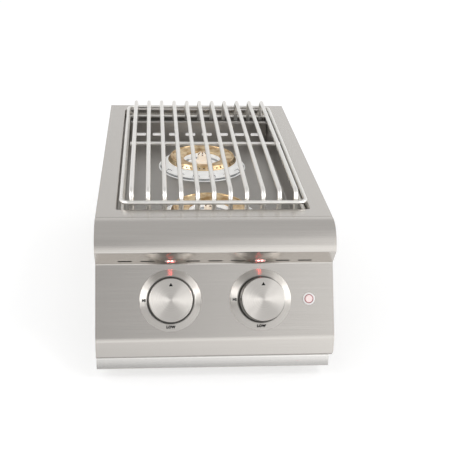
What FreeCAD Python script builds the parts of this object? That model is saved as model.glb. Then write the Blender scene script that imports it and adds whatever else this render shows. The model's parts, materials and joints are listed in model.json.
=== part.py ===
import FreeCAD, Part
import math
import os

# Drop-in double side burner, in millimetres.
# X runs to the right, Y to the back and Z up. The origin is the centre of the worktop
# cut-out, in the plane of the worktop that the flange rests on.

# Top flange
flange_width = 333.0
flange_depth = 545.0
flange_sheet = 1.5
opening_width = 277.0
opening_depth = 491.0
opening_corner = 5.0
rim_depth = 14.0
apron_depth = 12.0

# Burner box
box_height = 216.0
wall_sheet = 1.2
fold_width = 12.0
corner_gap = 4.0

# Control panel: the reaches run forward from the flange's front edge, the drops down from its top
seam_gap = 0.4
panel_sheet = 1.2
nose_flat = 6.0
nose_radius = 38.0
nose_drop = 34.2
throat_reach = 26.0
throat_drop = 59.7
foot_reach = 77.1
foot_drop = 151.4
lip_height = 29.0
lip_step = 1.2
foot_bend = 9.0
lip_corner = 7.0
hem_width = 14.0

# Vents and lamps in the underside of the panel's nose
vent_count = 9
vent_pitch = 31.4
vent_length = 20.0
vent_width = 3.0
vent_offset = 7.4
lamp_length = 15.0
lamp_width = 4.4
lens_sheet = 1.6
lamp_body_length = 19.0
lamp_body_width = 9.0
lamp_body_height = 9.0
lens_depth = 4.0

# Lower trim under the panel
trim_width = 327.0
trim_shift = -2.5
trim_height = 18.6
trim_inset = 3.5

# Knobs
knob_spacing = 125.6
knob_offset = 50.8
bezel_radius = 42.8
bezel_height = 9.0
bezel_edge = 2.5
bezel_sheet = 1.5
knob_radius = 31.5
knob_top_radius = 29.8
knob_wall = 2.5
knob_top = 36.0
knob_top_sheet = 2.8
knob_boss_radius = 9.0
knob_key_width = 6.0
cap_radius = 29.3
cap_sheet = 2.2
edge_chamfer = 0.6
pointer_length = 4.6
pointer_width = 5.6
pointer_offset = 21.0
pointer_sheet = 0.4
knob_gap = 1.3
bezel_crown = 1.7
knob_stroke = 3.0
stroke_spare = 1.3

# Gas valves
stem_radius = 4.0
stem_flat = 0.8
stem_grip = 5.0
stem_reach = 21.5
tongue_length = 13.0
tongue_width = 6.8
tongue_sheet = 2.4
plug_radius = 7.0
plug_top = 26.0
plug_bottom = 46.0
valve_radius = 12.0
valve_neck_radius = 8.0
valve_neck = 14.0
valve_bottom = 51.0
valve_ear_width = 20.0
valve_ear_sheet = 2.5
valve_screw_depth = 10.0
bezel_screw_offset = 24.0
neck_gap = 0.2
run_gap = 0.05
slot_gap = 0.1
outlet_depth = 38.0
outlet_radius = 6.5
outlet_length = 16.0

# Gas line
manifold_radius = 10.7
manifold_bore = 8.0
manifold_end = 4.0
manifold_depth = 66.0
manifold_left = -100.0
manifold_right = 84.0
coupling_length = 22.0
coupling_wall = 2.6
supply_x = 118.0
supply_bend = 16.0
tube_radius = 4.0
tube_bore = 3.0
tube_bend = 16.0
tube_grip = 3.0
inlet_collar_radius = 9.5
inlet_collar_length = 2.0
inlet_thread_radius = 7.94
inlet_thread_length = 16.0
inlet_chamfer = 1.5
inlet_bore = 5.0
inlet_hex = 24.0
inlet_hex_height = 6.0
hole_clearance = 0.5

# Light button
button_inset = 35.4
button_flange_radius = 8.6
button_flange_height = 2.2
button_barrel_radius = 7.0
button_barrel_length = 16.0
button_radius = 5.15
button_length = 10.0
button_proud = 0.8
light_ring_radius = 6.7
light_ring_sheet = 1.0
button_gap = 0.1
button_floor = 3.0
button_nut_width = 17.0
button_nut_height = 3.2

# Burner tray
tray_sheet = 1.0
tray_half_width = 130.0
tray_end_gap = 5.5
tray_floor = 50.0
ledge_clearance = 0.3
tray_screw_share = 0.55
baffle_y = 198.5
baffle_width = 255.0
baffle_height = 39.0
baffle_fold = 8.0
slot_count = 8
slot_pitch = 31.0
slot_length = 20.0
slot_height = 5.6
slot_rise = 15.4

# Burners
burner_gap = 230.0
front_burner_setback = 108.0
cup_radius = 73.5
cup_rise = 8.0
cup_edge = 1.5
cup_seat_outer = 61.5
cup_seat_inner = 56.0
cup_channel_outer = 54.0
cup_channel_inner = 34.0
cup_channel_rise = 3.0
cup_center_radius = 14.0
cup_center_rise = 9.0
cup_body_radius = 38.0
cup_body_depth = 26.0
cup_foot_radius = 24.0
cup_foot_taper = 10.0
cup_throat = 6.0
ring_radius = 59.5
ring_inner = 33.0
ring_rise = 17.0
ring_slope_drop = 3.5
ring_wall = 3.0
ring_edge = 1.0
spigot_gap = 0.3
ring_lift_gap = 1.0
port_count = 36
port_group = 4
port_radius = 0.9
port_rise = 12.5
post_radius = 8.5
post_rise = 24.0
post_chamfer = 0.8
post_foot_radius = 12.0
post_foot_height = 3.0
post_star_depth = 1.5
post_star_reach = 5.1
post_star_width = 1.8
electrode_radius = 3.0
electrode_pitch_radius = 66.0
electrode_angle = 55.0
electrode_tip = 0.9
electrode_depth = 30.0
electrode_proud = 3.0
electrode_tip_length = 5.0
electrode_tail = 6.0
jet_radius = 11.0
jet_top = 32.0
jet_bottom = 50.0
jet_nozzle = 4.0
jet_orifice = 1.0
jet_arm = 4.0
jet_arm_inset = 2.0
jet_gap = 2.0

# Cooking grid
grid_rod_radius = 3.5
grid_ring_radius = 3.1
grid_width = 266.0
grid_length = 476.5
grid_corner = 12.0
grid_shift_x = 1.5
grid_shift_y = 2.2
upper_ring_height = 8.0
lower_ring_height = -10.5
rod_height = 22.0
rod_count = 11
rod_pitch = 23.7
rod_bend = 12.0
leg_overhang = 1.9

# Fasteners and electrics
screw_radius = 2.0
screw_head_radius = 3.9
screw_head_height = 2.4
screw_head_round = 1.08
screw_clearance = 0.2
screw_grip = 8.0
sheet_screw_grip = 6.0
screw_spare = 2.0
hex_head_width = 6.4
hex_head_height = 2.4
body_screw_count = 3
body_screw_margin = 47.0
seam_screw_margin = 31.5
trim_screw_inset = 20.0
pan_screw_share = 0.7
hem_screw_share = 0.65
module_width = 62.0
module_height = 36.0
module_depth = 16.0
module_round = 1.5
terminal_count = 2
terminal_radius = 3.0
terminal_length = 8.0
module_x = 92.0
module_z = -62.0
driver_width = 48.0
driver_height = 28.0
bracket_sheet = 2.5
bracket_width = 18.0
bracket_x = 30.0
bracket_foot = 8.0

# Sizes worked out from the ones above
opening_x = opening_width / 2
opening_y = opening_depth / 2
shell_x = opening_x + flange_sheet
shell_y = opening_y + flange_sheet
outer_x = shell_x + wall_sheet
outer_y = shell_y + wall_sheet
front_y = -flange_depth / 2
top_z = flange_sheet
throat_y = front_y - throat_reach
throat_z = top_z - throat_drop
foot_y = front_y - foot_reach
foot_z = top_z - foot_drop
lip_y = foot_y - lip_step
button_x = flange_width / 2 - button_inset
lip_z = foot_z - lip_height
nose_y = front_y - nose_flat - math.sqrt(nose_radius ** 2 - (nose_radius - nose_drop) ** 2)
nose_z = top_z - nose_drop
panel_tilt = math.degrees(math.atan2(foot_reach - throat_reach, foot_drop - throat_drop))
slope_y = -math.sin(math.radians(panel_tilt))
slope_z = -math.cos(math.radians(panel_tilt))
axis_y = throat_y + slope_y * knob_offset
axis_z = throat_z + slope_z * knob_offset
underside_angle = math.degrees(math.atan2(nose_z - throat_z, nose_y - throat_y))
tray_floor_z = top_z - tray_floor
ledge_z = lower_ring_height - grid_ring_radius - ledge_clearance
tray_half_length = opening_y - tray_end_gap
front_burner_y = front_y + front_burner_setback
rear_burner_y = front_burner_y + burner_gap
manifold_y = axis_y - slope_z * manifold_depth
manifold_z = axis_z + slope_y * manifold_depth
knob_bottom = wall_sheet + knob_stroke + stroke_spare
leg_end = lower_ring_height - grid_ring_radius - leg_overhang
seam_screw_x = flange_width / 2 - seam_screw_margin
trim_screw_x = shell_x - trim_screw_inset
KNOBS = (("left", -knob_spacing / 2), ("right", knob_spacing / 2))
BURNERS = (("front", front_burner_y), ("rear", rear_burner_y))


def vec(x, y, z):
    return FreeCAD.Vector(x, y, z)


def block(x0, x1, y0, y1, z0, z1):
    return Part.makeBox(x1 - x0, y1 - y0, z1 - z0, vec(x0, y0, z0))


def box_around(half_x, half_y, z0, z1):
    return block(-half_x, half_x, -half_y, half_y, z0, z1)


def rod(start, end, radius):
    axis = end - start
    return Part.makeCylinder(radius, axis.Length, start, axis)


def disc(radius, z0, z1, x=0.0, y=0.0):
    return Part.makeCylinder(radius, z1 - z0, vec(x, y, z0), vec(0, 0, 1))


def ring(outer, inner, z0, z1, x=0.0, y=0.0):
    return disc(outer, z0, z1, x, y).cut(disc(inner, z0 - 1, z1 + 1, x, y))


def turned(points):
    """A solid turned about Z from (radius, height) points."""
    corners = [vec(r, 0, z) for r, z in points]
    face = Part.Face(Part.makePolygon(corners + corners[:1]))
    return face.revolve(vec(0, 0, 0), vec(0, 0, 1), 360)


def prism(points, x0, x1):
    """A solid of constant section along X from (y, z) points."""
    corners = [vec(x0, y, z) for y, z in points]
    face = Part.Face(Part.makePolygon(corners + corners[:1]))
    return face.extrude(vec(x1 - x0, 0, 0))


def rounded_plate(half_x, half_y, radius, z0, z1):
    plate = box_around(half_x, half_y, z0, z1)
    uprights = [e for e in plate.Edges if abs(e.tangentAt(e.FirstParameter).z) > 0.9]
    return plate.makeFillet(radius, uprights)


def hexagon(width, z0, z1):
    radius = width / math.sqrt(3)
    turns = [math.radians(60 * k) for k in range(7)]
    outline = Part.makePolygon([vec(radius * math.cos(a), radius * math.sin(a), z0) for a in turns])
    return Part.Face(outline).extrude(vec(0, 0, z1 - z0))


def slot_cutter(length, width, depth):
    """A round-ended slot along X, centred on the origin and cut along Z."""
    straight = length / 2 - width / 2
    cutter = block(-straight, straight, -width / 2, width / 2, -depth, depth)
    for x in (-straight, straight):
        cutter = cutter.fuse(disc(width / 2, -depth, depth, x))
    return cutter


def bent_path(points, bend):
    """A wire through the points with an arc of one radius at each inner point."""
    edges = []
    last = points[0]
    for before, corner, after in zip(points, points[1:], points[2:]):
        into = (corner - before).normalize()
        out = (after - corner).normalize()
        turn = into.getAngle(out)
        reach = bend * math.tan(turn / 2)
        start = corner - into * reach
        end = corner + out * reach
        inward = (out - into).normalize()
        middle = corner + inward * (bend / math.cos(turn / 2) - bend)
        edges.append(Part.LineSegment(last, start).toShape())
        edges.append(Part.Arc(start, middle, end).toShape())
        last = end
    edges.append(Part.LineSegment(last, points[-1]).toShape())
    return Part.Wire(edges)


def swept(points, bend, radius):
    path = bent_path(points, bend)
    along = (points[1] - points[0]).normalize()
    section = Part.Wire([Part.makeCircle(radius, points[0], along)])
    return path.makePipeShell([section], True, False)


def bent_tube(points, bend, radius, bore):
    return swept(points, bend, radius).cut(swept(points, bend, bore))


def placed(shape, x, y, z, angle):
    """Turn a shape about X, so that its Z points out of a sloping face, and put it there."""
    copy = shape.copy()
    place = FreeCAD.Placement(vec(x, y, z), FreeCAD.Rotation(vec(1, 0, 0), angle))
    copy.Placement = place.multiply(copy.Placement)
    return copy


def on_panel(shape, x):
    return placed(shape, x, axis_y, axis_z, 90 - panel_tilt)


def panel_point(x, up, out):
    """The place of a point given along the panel's slope and out of its face."""
    y = axis_y - slope_y * up + slope_z * out
    z = axis_z - slope_z * up - slope_y * out
    return vec(x, y, z)


def on_underside(shape, x):
    share = vent_offset / math.hypot(nose_y - throat_y, nose_z - throat_z)
    y = throat_y + (nose_y - throat_y) * share
    z = throat_z + (nose_z - throat_z) * share
    return placed(shape, x, y, z, underside_angle)


def screw(grip=screw_grip):
    """A pan-head screw along Z with the underside of its head at the origin."""
    head = disc(screw_head_radius, 0, screw_head_height)
    head = head.makeFillet(screw_head_round, [head.Edges[0]])
    return head.fuse(disc(screw_radius, -grip, 0))


def top_flange():
    half = flange_width / 2
    plate = block(-half, half, front_y, -front_y, 0, top_z)
    rim = rounded_plate(shell_x, shell_y, opening_corner + flange_sheet, -rim_depth, top_z)
    apron = block(-half, half, front_y, front_y + flange_sheet, -apron_depth, top_z)
    cavity = rounded_plate(opening_x, opening_y, opening_corner, -rim_depth - 1, top_z + 1)
    flange = plate.fuse(rim).fuse(apron).cut(cavity)
    for shape in seam_screws():
        flange = flange.cut(shape)
    return flange


def foot_arc():
    """The soft bend between the slanted face and the lip: its start, middle and end."""
    corner = vec(0, foot_y, foot_z)
    up = vec(0, throat_y - foot_y, throat_z - foot_z).normalize()
    down = vec(0, lip_y - foot_y, lip_z - foot_z).normalize()
    half_turn = (math.pi - up.getAngle(down)) / 2
    reach = foot_bend * math.tan(half_turn)
    inward = (up + down).normalize()
    middle = corner + inward * (foot_bend / math.cos(half_turn) - foot_bend)
    return corner + up * reach, middle, corner + down * reach


def panel_path():
    start_y = front_y - seam_gap
    center_y = front_y - nose_flat
    center_z = top_z - nose_radius
    shoulder = math.radians(135)
    rise = nose_radius * math.sin(shoulder)
    run = nose_radius * math.cos(shoulder)
    nose_middle = vec(0, center_y + run, center_z + rise)
    bend_start, bend_middle, bend_end = foot_arc()
    edges = [
        Part.LineSegment(vec(0, start_y, -apron_depth), vec(0, start_y, top_z)).toShape(),
        Part.LineSegment(vec(0, start_y, top_z), vec(0, center_y, top_z)).toShape(),
        Part.Arc(vec(0, center_y, top_z), nose_middle, vec(0, nose_y, nose_z)).toShape(),
        Part.LineSegment(vec(0, nose_y, nose_z), vec(0, throat_y, throat_z)).toShape(),
        Part.LineSegment(vec(0, throat_y, throat_z), bend_start).toShape(),
        Part.Arc(bend_start, bend_middle, bend_end).toShape(),
        Part.LineSegment(bend_end, vec(0, lip_y, lip_z)).toShape(),
        Part.LineSegment(vec(0, lip_y, lip_z), vec(0, lip_y + hem_width, lip_z)).toShape(),
    ]
    return edges


def panel_core():
    """The space behind the panel's sheet, back to the flange's front edge, across its width."""
    edges = panel_path()
    inner = Part.Wire(edges).makeOffset2D(-panel_sheet, 2, False, True, False)
    first = inner.OrderedVertexes[0].Point
    last = inner.OrderedVertexes[-1].Point
    if first.z < last.z:
        first, last = last, first
    back_y = front_y + flange_sheet
    corners = [last, vec(0, back_y, last.z), vec(0, back_y, first.z), first]
    outline = Part.Wire(inner.Edges + Part.makePolygon(corners).Edges)
    core = Part.Face(outline).extrude(vec(flange_width, 0, 0))
    core.translate(vec(-flange_width / 2, 0, 0))
    return core


def lip_rounding():
    """What is cut away to round the lip's lower right corner."""
    x = flange_width / 2 - lip_corner
    z = lip_z + lip_corner
    corner = block(x, flange_width, lip_y - panel_sheet, 0, lip_z - panel_sheet, z)
    return corner.cut(rod(vec(x, lip_y - lip_corner, z), vec(x, 0, z), lip_corner))


def front_panel():
    half = flange_width / 2
    sheet = Part.Wire(panel_path()).makeOffset2D(-panel_sheet, 2, True, True, False)
    panel = sheet.extrude(vec(flange_width, 0, 0))
    panel.translate(vec(-half, 0, 0))
    through = 4 * panel_sheet
    core = panel_core().cut(block(-half, half, front_y - seam_gap, 0, -box_height, 2 * top_z))
    for x0, x1 in ((-half, -half + panel_sheet), (half - panel_sheet, half)):
        cheek = core.common(block(x0, x1, lip_y, 0, -box_height, top_z))
        panel = panel.fuse(cheek)
    cutters = []
    for name, x in KNOBS:
        cutters.append(on_panel(disc(valve_neck_radius, -through, through), x))
        for side in screw_sides():
            cutters.append(on_panel(disc(screw_radius + screw_clearance, -through, through, side), x))
    cutters.append(on_panel(disc(button_barrel_radius + button_gap, -through, through), button_x))
    for k in range(vent_count):
        x = (k - (vent_count - 1) / 2) * vent_pitch
        if abs(abs(x) - knob_spacing / 2) < vent_length / 2:
            half_x = lamp_length / 2
            half_y = lamp_width / 2
            window = block(-half_x, half_x, -half_y, half_y, -through, through)
        else:
            window = slot_cutter(vent_length, vent_width, through)
        cutters.append(on_underside(window, x))
    cutters += seam_screws() + trim_screws() + [lip_rounding()]
    for cutter in cutters:
        panel = panel.cut(cutter)
    return panel


def screw_sides():
    return (-bezel_screw_offset, bezel_screw_offset)


def side_wall(side):
    """The wall from the rear to the panel, whose front edge follows the panel's inner face."""
    x0, x1 = sorted((side * shell_x, side * outer_x))
    box_part = block(x0, x1, -outer_y, outer_y, -box_height, 0)
    under_flange = block(x0, x1, front_y + flange_sheet, -shell_y, lip_z, 0)
    nose_part = panel_core().common(block(x0, x1, lip_y, front_y + flange_sheet, lip_z, top_z))
    nose_part = nose_part.cut(block(x0, x1, front_y - seam_gap - panel_sheet, 0, -apron_depth, top_z))
    wall = box_part.fuse(under_flange).fuse(nose_part).removeSplitter()
    for shape in body_screws():
        wall = wall.cut(shape)
    return wall


def end_wall(side):
    """The rear wall or the front bulkhead, with a fold along each side."""
    y0, y1 = sorted((side * shell_y, side * outer_y))
    half = shell_x
    wall = block(-half, half, y0, y1, -box_height, 0)
    fold_y0, fold_y1 = sorted((side * (shell_y - fold_width), side * shell_y))
    low = -box_height + wall_sheet + fold_width + corner_gap
    high = -rim_depth - corner_gap
    for x0, x1 in ((-half, -half + wall_sheet), (half - wall_sheet, half)):
        wall = wall.fuse(block(x0, x1, fold_y0, fold_y1, low, high))
    for shape in body_screws():
        wall = wall.cut(shape)
    return wall


def rear_wall():
    wall = end_wall(1)
    radius = inlet_collar_radius + slot_gap
    return wall.cut(rod(vec(supply_x, 0, manifold_z), vec(supply_x, outer_y, manifold_z), radius))


def front_bulkhead():
    wall = end_wall(-1)
    y0, y1 = -outer_y - 5, -shell_y + 5
    pass_radius = manifold_radius + hole_clearance
    wall = wall.cut(rod(vec(supply_x, y0, manifold_z), vec(supply_x, y1, manifold_z), pass_radius))
    for name, x in KNOBS:
        z = gas_tube_level()
        wall = wall.cut(rod(vec(x, y0, z), vec(x, y1, z), tube_radius + hole_clearance))
    return wall


def floor_pan():
    base = block(-shell_x, shell_x, -shell_y, shell_y, -box_height, -box_height + wall_sheet)
    top = -box_height + wall_sheet + fold_width
    end = shell_y - corner_gap
    for x0, x1 in ((-shell_x, -shell_x + wall_sheet), (shell_x - wall_sheet, shell_x)):
        base = base.fuse(block(x0, x1, -end, end, -box_height, top))
    for shape in body_screws():
        base = base.cut(shape)
    return base


def lower_trim():
    half = trim_width / 2
    face_y = lip_y + trim_inset
    top = lip_z
    bottom = top - trim_height
    section = [
        (face_y, bottom),
        (-outer_y, bottom),
        (-outer_y, bottom + panel_sheet),
        (face_y + panel_sheet, bottom + panel_sheet),
        (face_y + panel_sheet, top - panel_sheet),
        (lip_y + hem_width, top - panel_sheet),
        (lip_y + hem_width, top),
        (face_y, top),
    ]
    trim = prism(section, trim_shift - half, trim_shift + half)
    for shape in trim_screws():
        trim = trim.cut(shape)
    return trim


def burner_tray():
    """The pan under the grid: a floor, four walls and a ledge that the grid's lower ring lies on."""
    low = tray_floor_z - tray_sheet
    outer = box_around(tray_half_width + tray_sheet, tray_half_length + tray_sheet, low, ledge_z)
    inner = box_around(tray_half_width, tray_half_length, tray_floor_z, ledge_z + 1)
    ledge_x = opening_x - ledge_clearance
    ledge_y = opening_y - ledge_clearance
    ledge = rounded_plate(ledge_x, ledge_y, opening_corner, ledge_z - tray_sheet, ledge_z)
    tray = outer.fuse(ledge).cut(inner)
    for name, y in BURNERS:
        tray = tray.cut(disc(cup_body_radius + hole_clearance, low - 1, tray_floor_z + 1, 0, y))
        place = electrode_place(y)
        radius = electrode_radius + hole_clearance
        tray = tray.cut(disc(radius, low - 1, tray_floor_z + 1, place.x, place.y))
    for shape in tray_screws():
        tray = tray.cut(shape)
    return tray


def tray_hangers():
    """Four brackets that carry the tray's ledge from the side walls."""
    solids = []
    z1 = ledge_z - tray_sheet
    for side in (-1, 1):
        for y in tray_screw_rows():
            x0, x1 = sorted((side * shell_x, side * (tray_half_width + tray_sheet + ledge_clearance)))
            shelf = block(x0, x1, y - bracket_width / 2, y + bracket_width / 2, z1 - wall_sheet, z1)
            x0, x1 = sorted((side * shell_x, side * (shell_x - wall_sheet)))
            leg = block(x0, x1, y - bracket_width / 2, y + bracket_width / 2, z1 - bracket_width, z1)
            hanger = shelf.fuse(leg)
            for shape in tray_screws():
                hanger = hanger.cut(shape)
            solids.append(hanger)
    return Part.makeCompound(solids)


def tray_screw_rows():
    return (-tray_half_length * tray_screw_share, tray_half_length * tray_screw_share)


def tray_screws():
    """Screws through the tray's ledge into its brackets, from below."""
    solids = []
    x = (tray_half_width + shell_x) / 2
    for side in (-1, 1):
        for y in tray_screw_rows():
            under = -tray_sheet - wall_sheet
            shape = disc(screw_radius, under, 0)
            shape = shape.fuse(hexagon(hex_head_width, under - hex_head_height, under))
            shape.translate(vec(side * x, y, ledge_z))
            solids.append(shape)
    return solids


def rear_baffle():
    half = baffle_width / 2
    z1 = tray_floor_z + baffle_height
    baffle = block(-half, half, baffle_y, baffle_y + tray_sheet, tray_floor_z, z1)
    fold_y = baffle_y + baffle_fold
    for z in (tray_floor_z, z1 - tray_sheet):
        baffle = baffle.fuse(block(-half, half, baffle_y, fold_y, z, z + tray_sheet))
    for k in range(slot_count):
        x = (k - (slot_count - 1) / 2) * slot_pitch
        slot = slot_cutter(slot_length, slot_height, baffle_fold / 2)
        baffle = baffle.cut(placed(slot, x, baffle_y, tray_floor_z + slot_rise, 90))
    return baffle


def electrode_place(y):
    angle = math.radians(electrode_angle)
    return vec(electrode_pitch_radius * math.cos(angle), y + electrode_pitch_radius * math.sin(angle), 0)


def burner_cup(y):
    profile = [
        (cup_throat, -cup_body_depth),
        (cup_foot_radius, -cup_body_depth),
        (cup_body_radius, -cup_body_depth + cup_foot_taper),
        (cup_body_radius, 0),
        (cup_radius, 0),
        (cup_radius, cup_edge),
        (cup_seat_outer, cup_rise),
        (cup_seat_inner, cup_rise),
        (cup_channel_outer, cup_channel_rise),
        (cup_channel_inner, cup_channel_rise),
        (cup_center_radius, cup_center_rise),
        (cup_throat, cup_center_rise),
    ]
    cup = turned(profile)
    cup.translate(vec(0, y, tray_floor_z))
    place = electrode_place(y)
    radius = electrode_radius + run_gap
    return cup.cut(disc(radius, tray_floor_z - 1, tray_floor_z + cup_rise, place.x, place.y))


def burner_ring(y):
    """The brass head: a turned channel with flame ports round its outer wall, one in each group left out."""
    inner_top = ring_rise - ring_slope_drop
    spigot = cup_channel_outer - spigot_gap
    foot = cup_channel_rise + ring_lift_gap
    profile = [
        (ring_radius, cup_rise),
        (ring_radius, ring_rise - ring_edge),
        (ring_radius - ring_edge, ring_rise),
        (ring_inner + ring_edge, inner_top),
        (ring_inner, inner_top - ring_edge),
        (ring_inner, foot),
        (ring_inner + ring_wall, foot),
        (ring_inner + ring_wall, inner_top - ring_wall),
        (spigot - ring_wall / 2, inner_top - ring_wall),
        (spigot - ring_wall / 2, foot),
        (spigot, foot),
        (spigot, cup_rise),
    ]
    head = turned(profile)
    ports = []
    for k in range(port_count):
        if k % port_group == port_group - 1:
            continue
        angle = 2 * math.pi * k / port_count
        out = vec(math.cos(angle), math.sin(angle), 0)
        level = vec(0, 0, port_rise)
        ports.append(rod(level + out * (spigot - ring_wall), level + out * (ring_radius + 1), port_radius))
    head = head.cut(Part.makeCompound(ports))
    head.translate(vec(0, y, tray_floor_z))
    return head


def center_post(y):
    """The centre flame cap, with a star cut into its top."""
    post = disc(post_radius, cup_center_rise, post_rise)
    rim = [edge for edge in post.Edges if edge.BoundBox.ZMin > post_rise - post_chamfer]
    post = post.makeChamfer(post_chamfer, rim)
    post = post.fuse(disc(post_foot_radius, cup_center_rise, cup_center_rise + post_foot_height))
    half = post_star_width / 2
    low = post_rise - post_star_depth
    for turn in (0, 60, 120):
        arm = block(-post_star_reach, post_star_reach, -half, half, low, 2 * post_rise)
        arm.rotate(vec(0, 0, 0), vec(0, 0, 1), turn)
        post = post.cut(arm)
    post.translate(vec(0, y, tray_floor_z))
    return post


def electrode(y):
    place = electrode_place(y)
    top = cup_rise + electrode_proud
    body = disc(electrode_radius, -electrode_depth, top)
    body = body.fuse(disc(electrode_tip, top, top + electrode_tip_length))
    body = body.fuse(disc(electrode_tip, -electrode_depth - electrode_tail, -electrode_depth))
    body.translate(vec(place.x, place.y, tray_floor_z))
    return body


def jet_holder(y, side):
    """The brass block under a burner, with its nozzle and the two arms that hang it from the cup."""
    block_part = disc(jet_radius, -jet_bottom, -jet_top)
    nozzle = disc(jet_nozzle, -jet_top, -cup_body_depth - jet_gap)
    holder = block_part.fuse(nozzle)
    reach = cup_foot_radius - jet_arm_inset
    for way in (-1, 1):
        y0, y1 = sorted((way * (jet_radius - jet_arm_inset), way * reach))
        holder = holder.fuse(block(-jet_arm, jet_arm, y0, y1, -jet_top - jet_arm, -jet_top))
        y0, y1 = sorted((way * (reach - jet_arm), way * reach))
        holder = holder.fuse(block(-jet_arm, jet_arm, y0, y1, -jet_top - jet_arm, -cup_body_depth))
    level = -(jet_top + jet_bottom) / 2
    holder = holder.cut(disc(jet_orifice, level, 0))
    passage = rod(vec(-side * tube_bore, 0, level), vec(side * jet_radius * 2, 0, level), tube_bore)
    holder = holder.cut(passage)
    holder.translate(vec(0, y, tray_floor_z))
    return holder


def gas_tube_level():
    return tray_floor_z - (jet_top + jet_bottom) / 2


def gas_tube(x, y, side):
    """The supply tube from a valve's outlet, through the bulkhead, to its jet holder."""
    start = panel_point(x, outlet_length, -outlet_depth)
    up = vec(0, -slope_y, -slope_z)
    level = gas_tube_level()
    corner = start + up * ((level - start.z) / up.z)
    turn = vec(x, y, level)
    end = vec(side * jet_radius, y, level)
    holder = disc(jet_radius, level - tube_bend, level + tube_bend, 0, y)
    end = end - vec(side * tube_grip, 0, 0)
    tube = bent_tube([start, corner, turn, end], tube_bend, tube_radius, tube_bore)
    return tube.cut(holder)


def valve_body(x):
    """The valve: ears behind the panel, a neck, the barrel, an outlet boss and the manifold nipple."""
    ears = bezel_screw_offset + valve_ear_width / 2
    width = valve_ear_width / 2
    body = block(-ears, ears, -width, width, -panel_sheet - valve_ear_sheet, -panel_sheet)
    body = body.fuse(disc(valve_neck_radius - neck_gap, -valve_neck, 0))
    body = body.fuse(disc(valve_radius, -valve_bottom, -valve_neck))
    body = body.fuse(rod(vec(0, 0, -outlet_depth), vec(0, outlet_length, -outlet_depth), outlet_radius))
    body = body.fuse(disc(plug_radius, -manifold_depth + manifold_bore, -valve_bottom))
    body = body.cut(disc(stem_radius + run_gap, -plug_top, 1))
    body = body.cut(disc(plug_radius + run_gap, -plug_bottom, -valve_neck - knob_stroke - 1))
    body = body.cut(rod(vec(0, 0, -outlet_depth), vec(0, outlet_length + 1, -outlet_depth), tube_bore))
    for side in screw_sides():
        body = body.cut(disc(screw_radius, -valve_screw_depth, 0, side))
    return on_panel(body, x)


def valve_plug(x):
    """The turning plug, slotted for the stem's tongue."""
    plug = disc(plug_radius, -plug_bottom, -plug_top)
    half_x = tongue_sheet / 2 + slot_gap
    half_y = tongue_width / 2 + slot_gap
    slot_floor = -stem_reach - tongue_length - knob_stroke - stroke_spare
    plug = plug.cut(block(-half_x, half_x, -half_y, half_y, slot_floor, 0))
    return on_panel(plug, x)


def valve_stem(x):
    """The sliding D-shaft that carries the knob and ends in a flat tongue."""
    top = knob_top - knob_top_sheet
    stem = disc(stem_radius, -stem_reach, top)
    flat = block(stem_radius - stem_flat, stem_radius + 1, -10, 10, knob_bottom + stem_grip, top + 1)
    stem = stem.cut(flat)
    half_x = tongue_sheet / 2
    half_y = tongue_width / 2
    tongue = block(-half_x, half_x, -half_y, half_y, -stem_reach - tongue_length, -stem_reach)
    return on_panel(stem.fuse(tongue), x)


def knob_skirt(x):
    """The knob's tapering shell with its inner boss."""
    inner_bottom = knob_radius - knob_wall
    inner_top = knob_top_radius - knob_wall
    under = knob_top - knob_top_sheet
    shell = turned([
        (0, under),
        (inner_top, under),
        (inner_bottom, knob_bottom),
        (knob_radius, knob_bottom),
        (knob_top_radius, knob_top),
        (0, knob_top),
    ])
    boss = ring(knob_boss_radius, stem_radius + run_gap, knob_bottom + stem_grip, under)
    half_key = knob_key_width / 2
    face = stem_radius - stem_flat + run_gap
    key = block(face, stem_radius + 1, -half_key, half_key, knob_bottom + stem_grip, under)
    return on_panel(shell.fuse(boss).fuse(key), x)


def knob_cap(x):
    cap = disc(cap_radius, knob_top, knob_top + cap_sheet)
    rim = [edge for edge in cap.Edges if edge.BoundBox.ZMin > knob_top]
    cap = cap.makeChamfer(edge_chamfer, rim)
    return on_panel(cap.cut(pointer_shape()), x)


def pointer_shape():
    """The triangular mark let into the cap, pointing up when the gas is off."""
    z0 = knob_top + cap_sheet - pointer_sheet
    low = pointer_offset - pointer_length / 2
    left = vec(-pointer_width / 2, low, z0)
    right = vec(pointer_width / 2, low, z0)
    tip = vec(0, low + pointer_length, z0)
    return Part.Face(Part.makePolygon([left, right, tip, left])).extrude(vec(0, 0, pointer_sheet))


def knob_bezel(x):
    """The dished ring round a knob, with a floor that screws to the panel."""
    inner = knob_radius + knob_gap
    crown = inner + bezel_crown
    profile = [
        (valve_neck_radius, 0),
        (bezel_radius, 0),
        (bezel_radius, bezel_edge),
        (crown, bezel_height),
        (inner, bezel_height),
        (inner, bezel_height - bezel_sheet),
        (crown - bezel_sheet / 2, bezel_height - bezel_sheet),
        (bezel_radius - bezel_sheet, bezel_edge - bezel_sheet / 2),
        (bezel_radius - bezel_sheet, wall_sheet),
        (valve_neck_radius, wall_sheet),
    ]
    bezel = turned(profile)
    for side in screw_sides():
        bezel = bezel.cut(disc(screw_radius + screw_clearance, -1, 3, side))
    return on_panel(bezel, x)


def bezel_screws():
    solids = []
    grip = wall_sheet + panel_sheet + valve_ear_sheet + screw_spare
    for name, x in KNOBS:
        for side in screw_sides():
            shape = screw(grip)
            shape.translate(vec(side, 0, wall_sheet))
            solids.append(on_panel(shape, x))
    return Part.makeCompound(solids)


def manifold():
    start = vec(manifold_left, manifold_y, manifold_z)
    end = vec(manifold_right, manifold_y, manifold_z)
    pipe = rod(start, end, manifold_radius)
    pipe = pipe.cut(rod(start + vec(manifold_end, 0, 0), end, manifold_bore))
    for name, x in KNOBS:
        pipe = pipe.cut(on_panel(disc(plug_radius, -manifold_depth, -valve_bottom), x))
    return pipe


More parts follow.
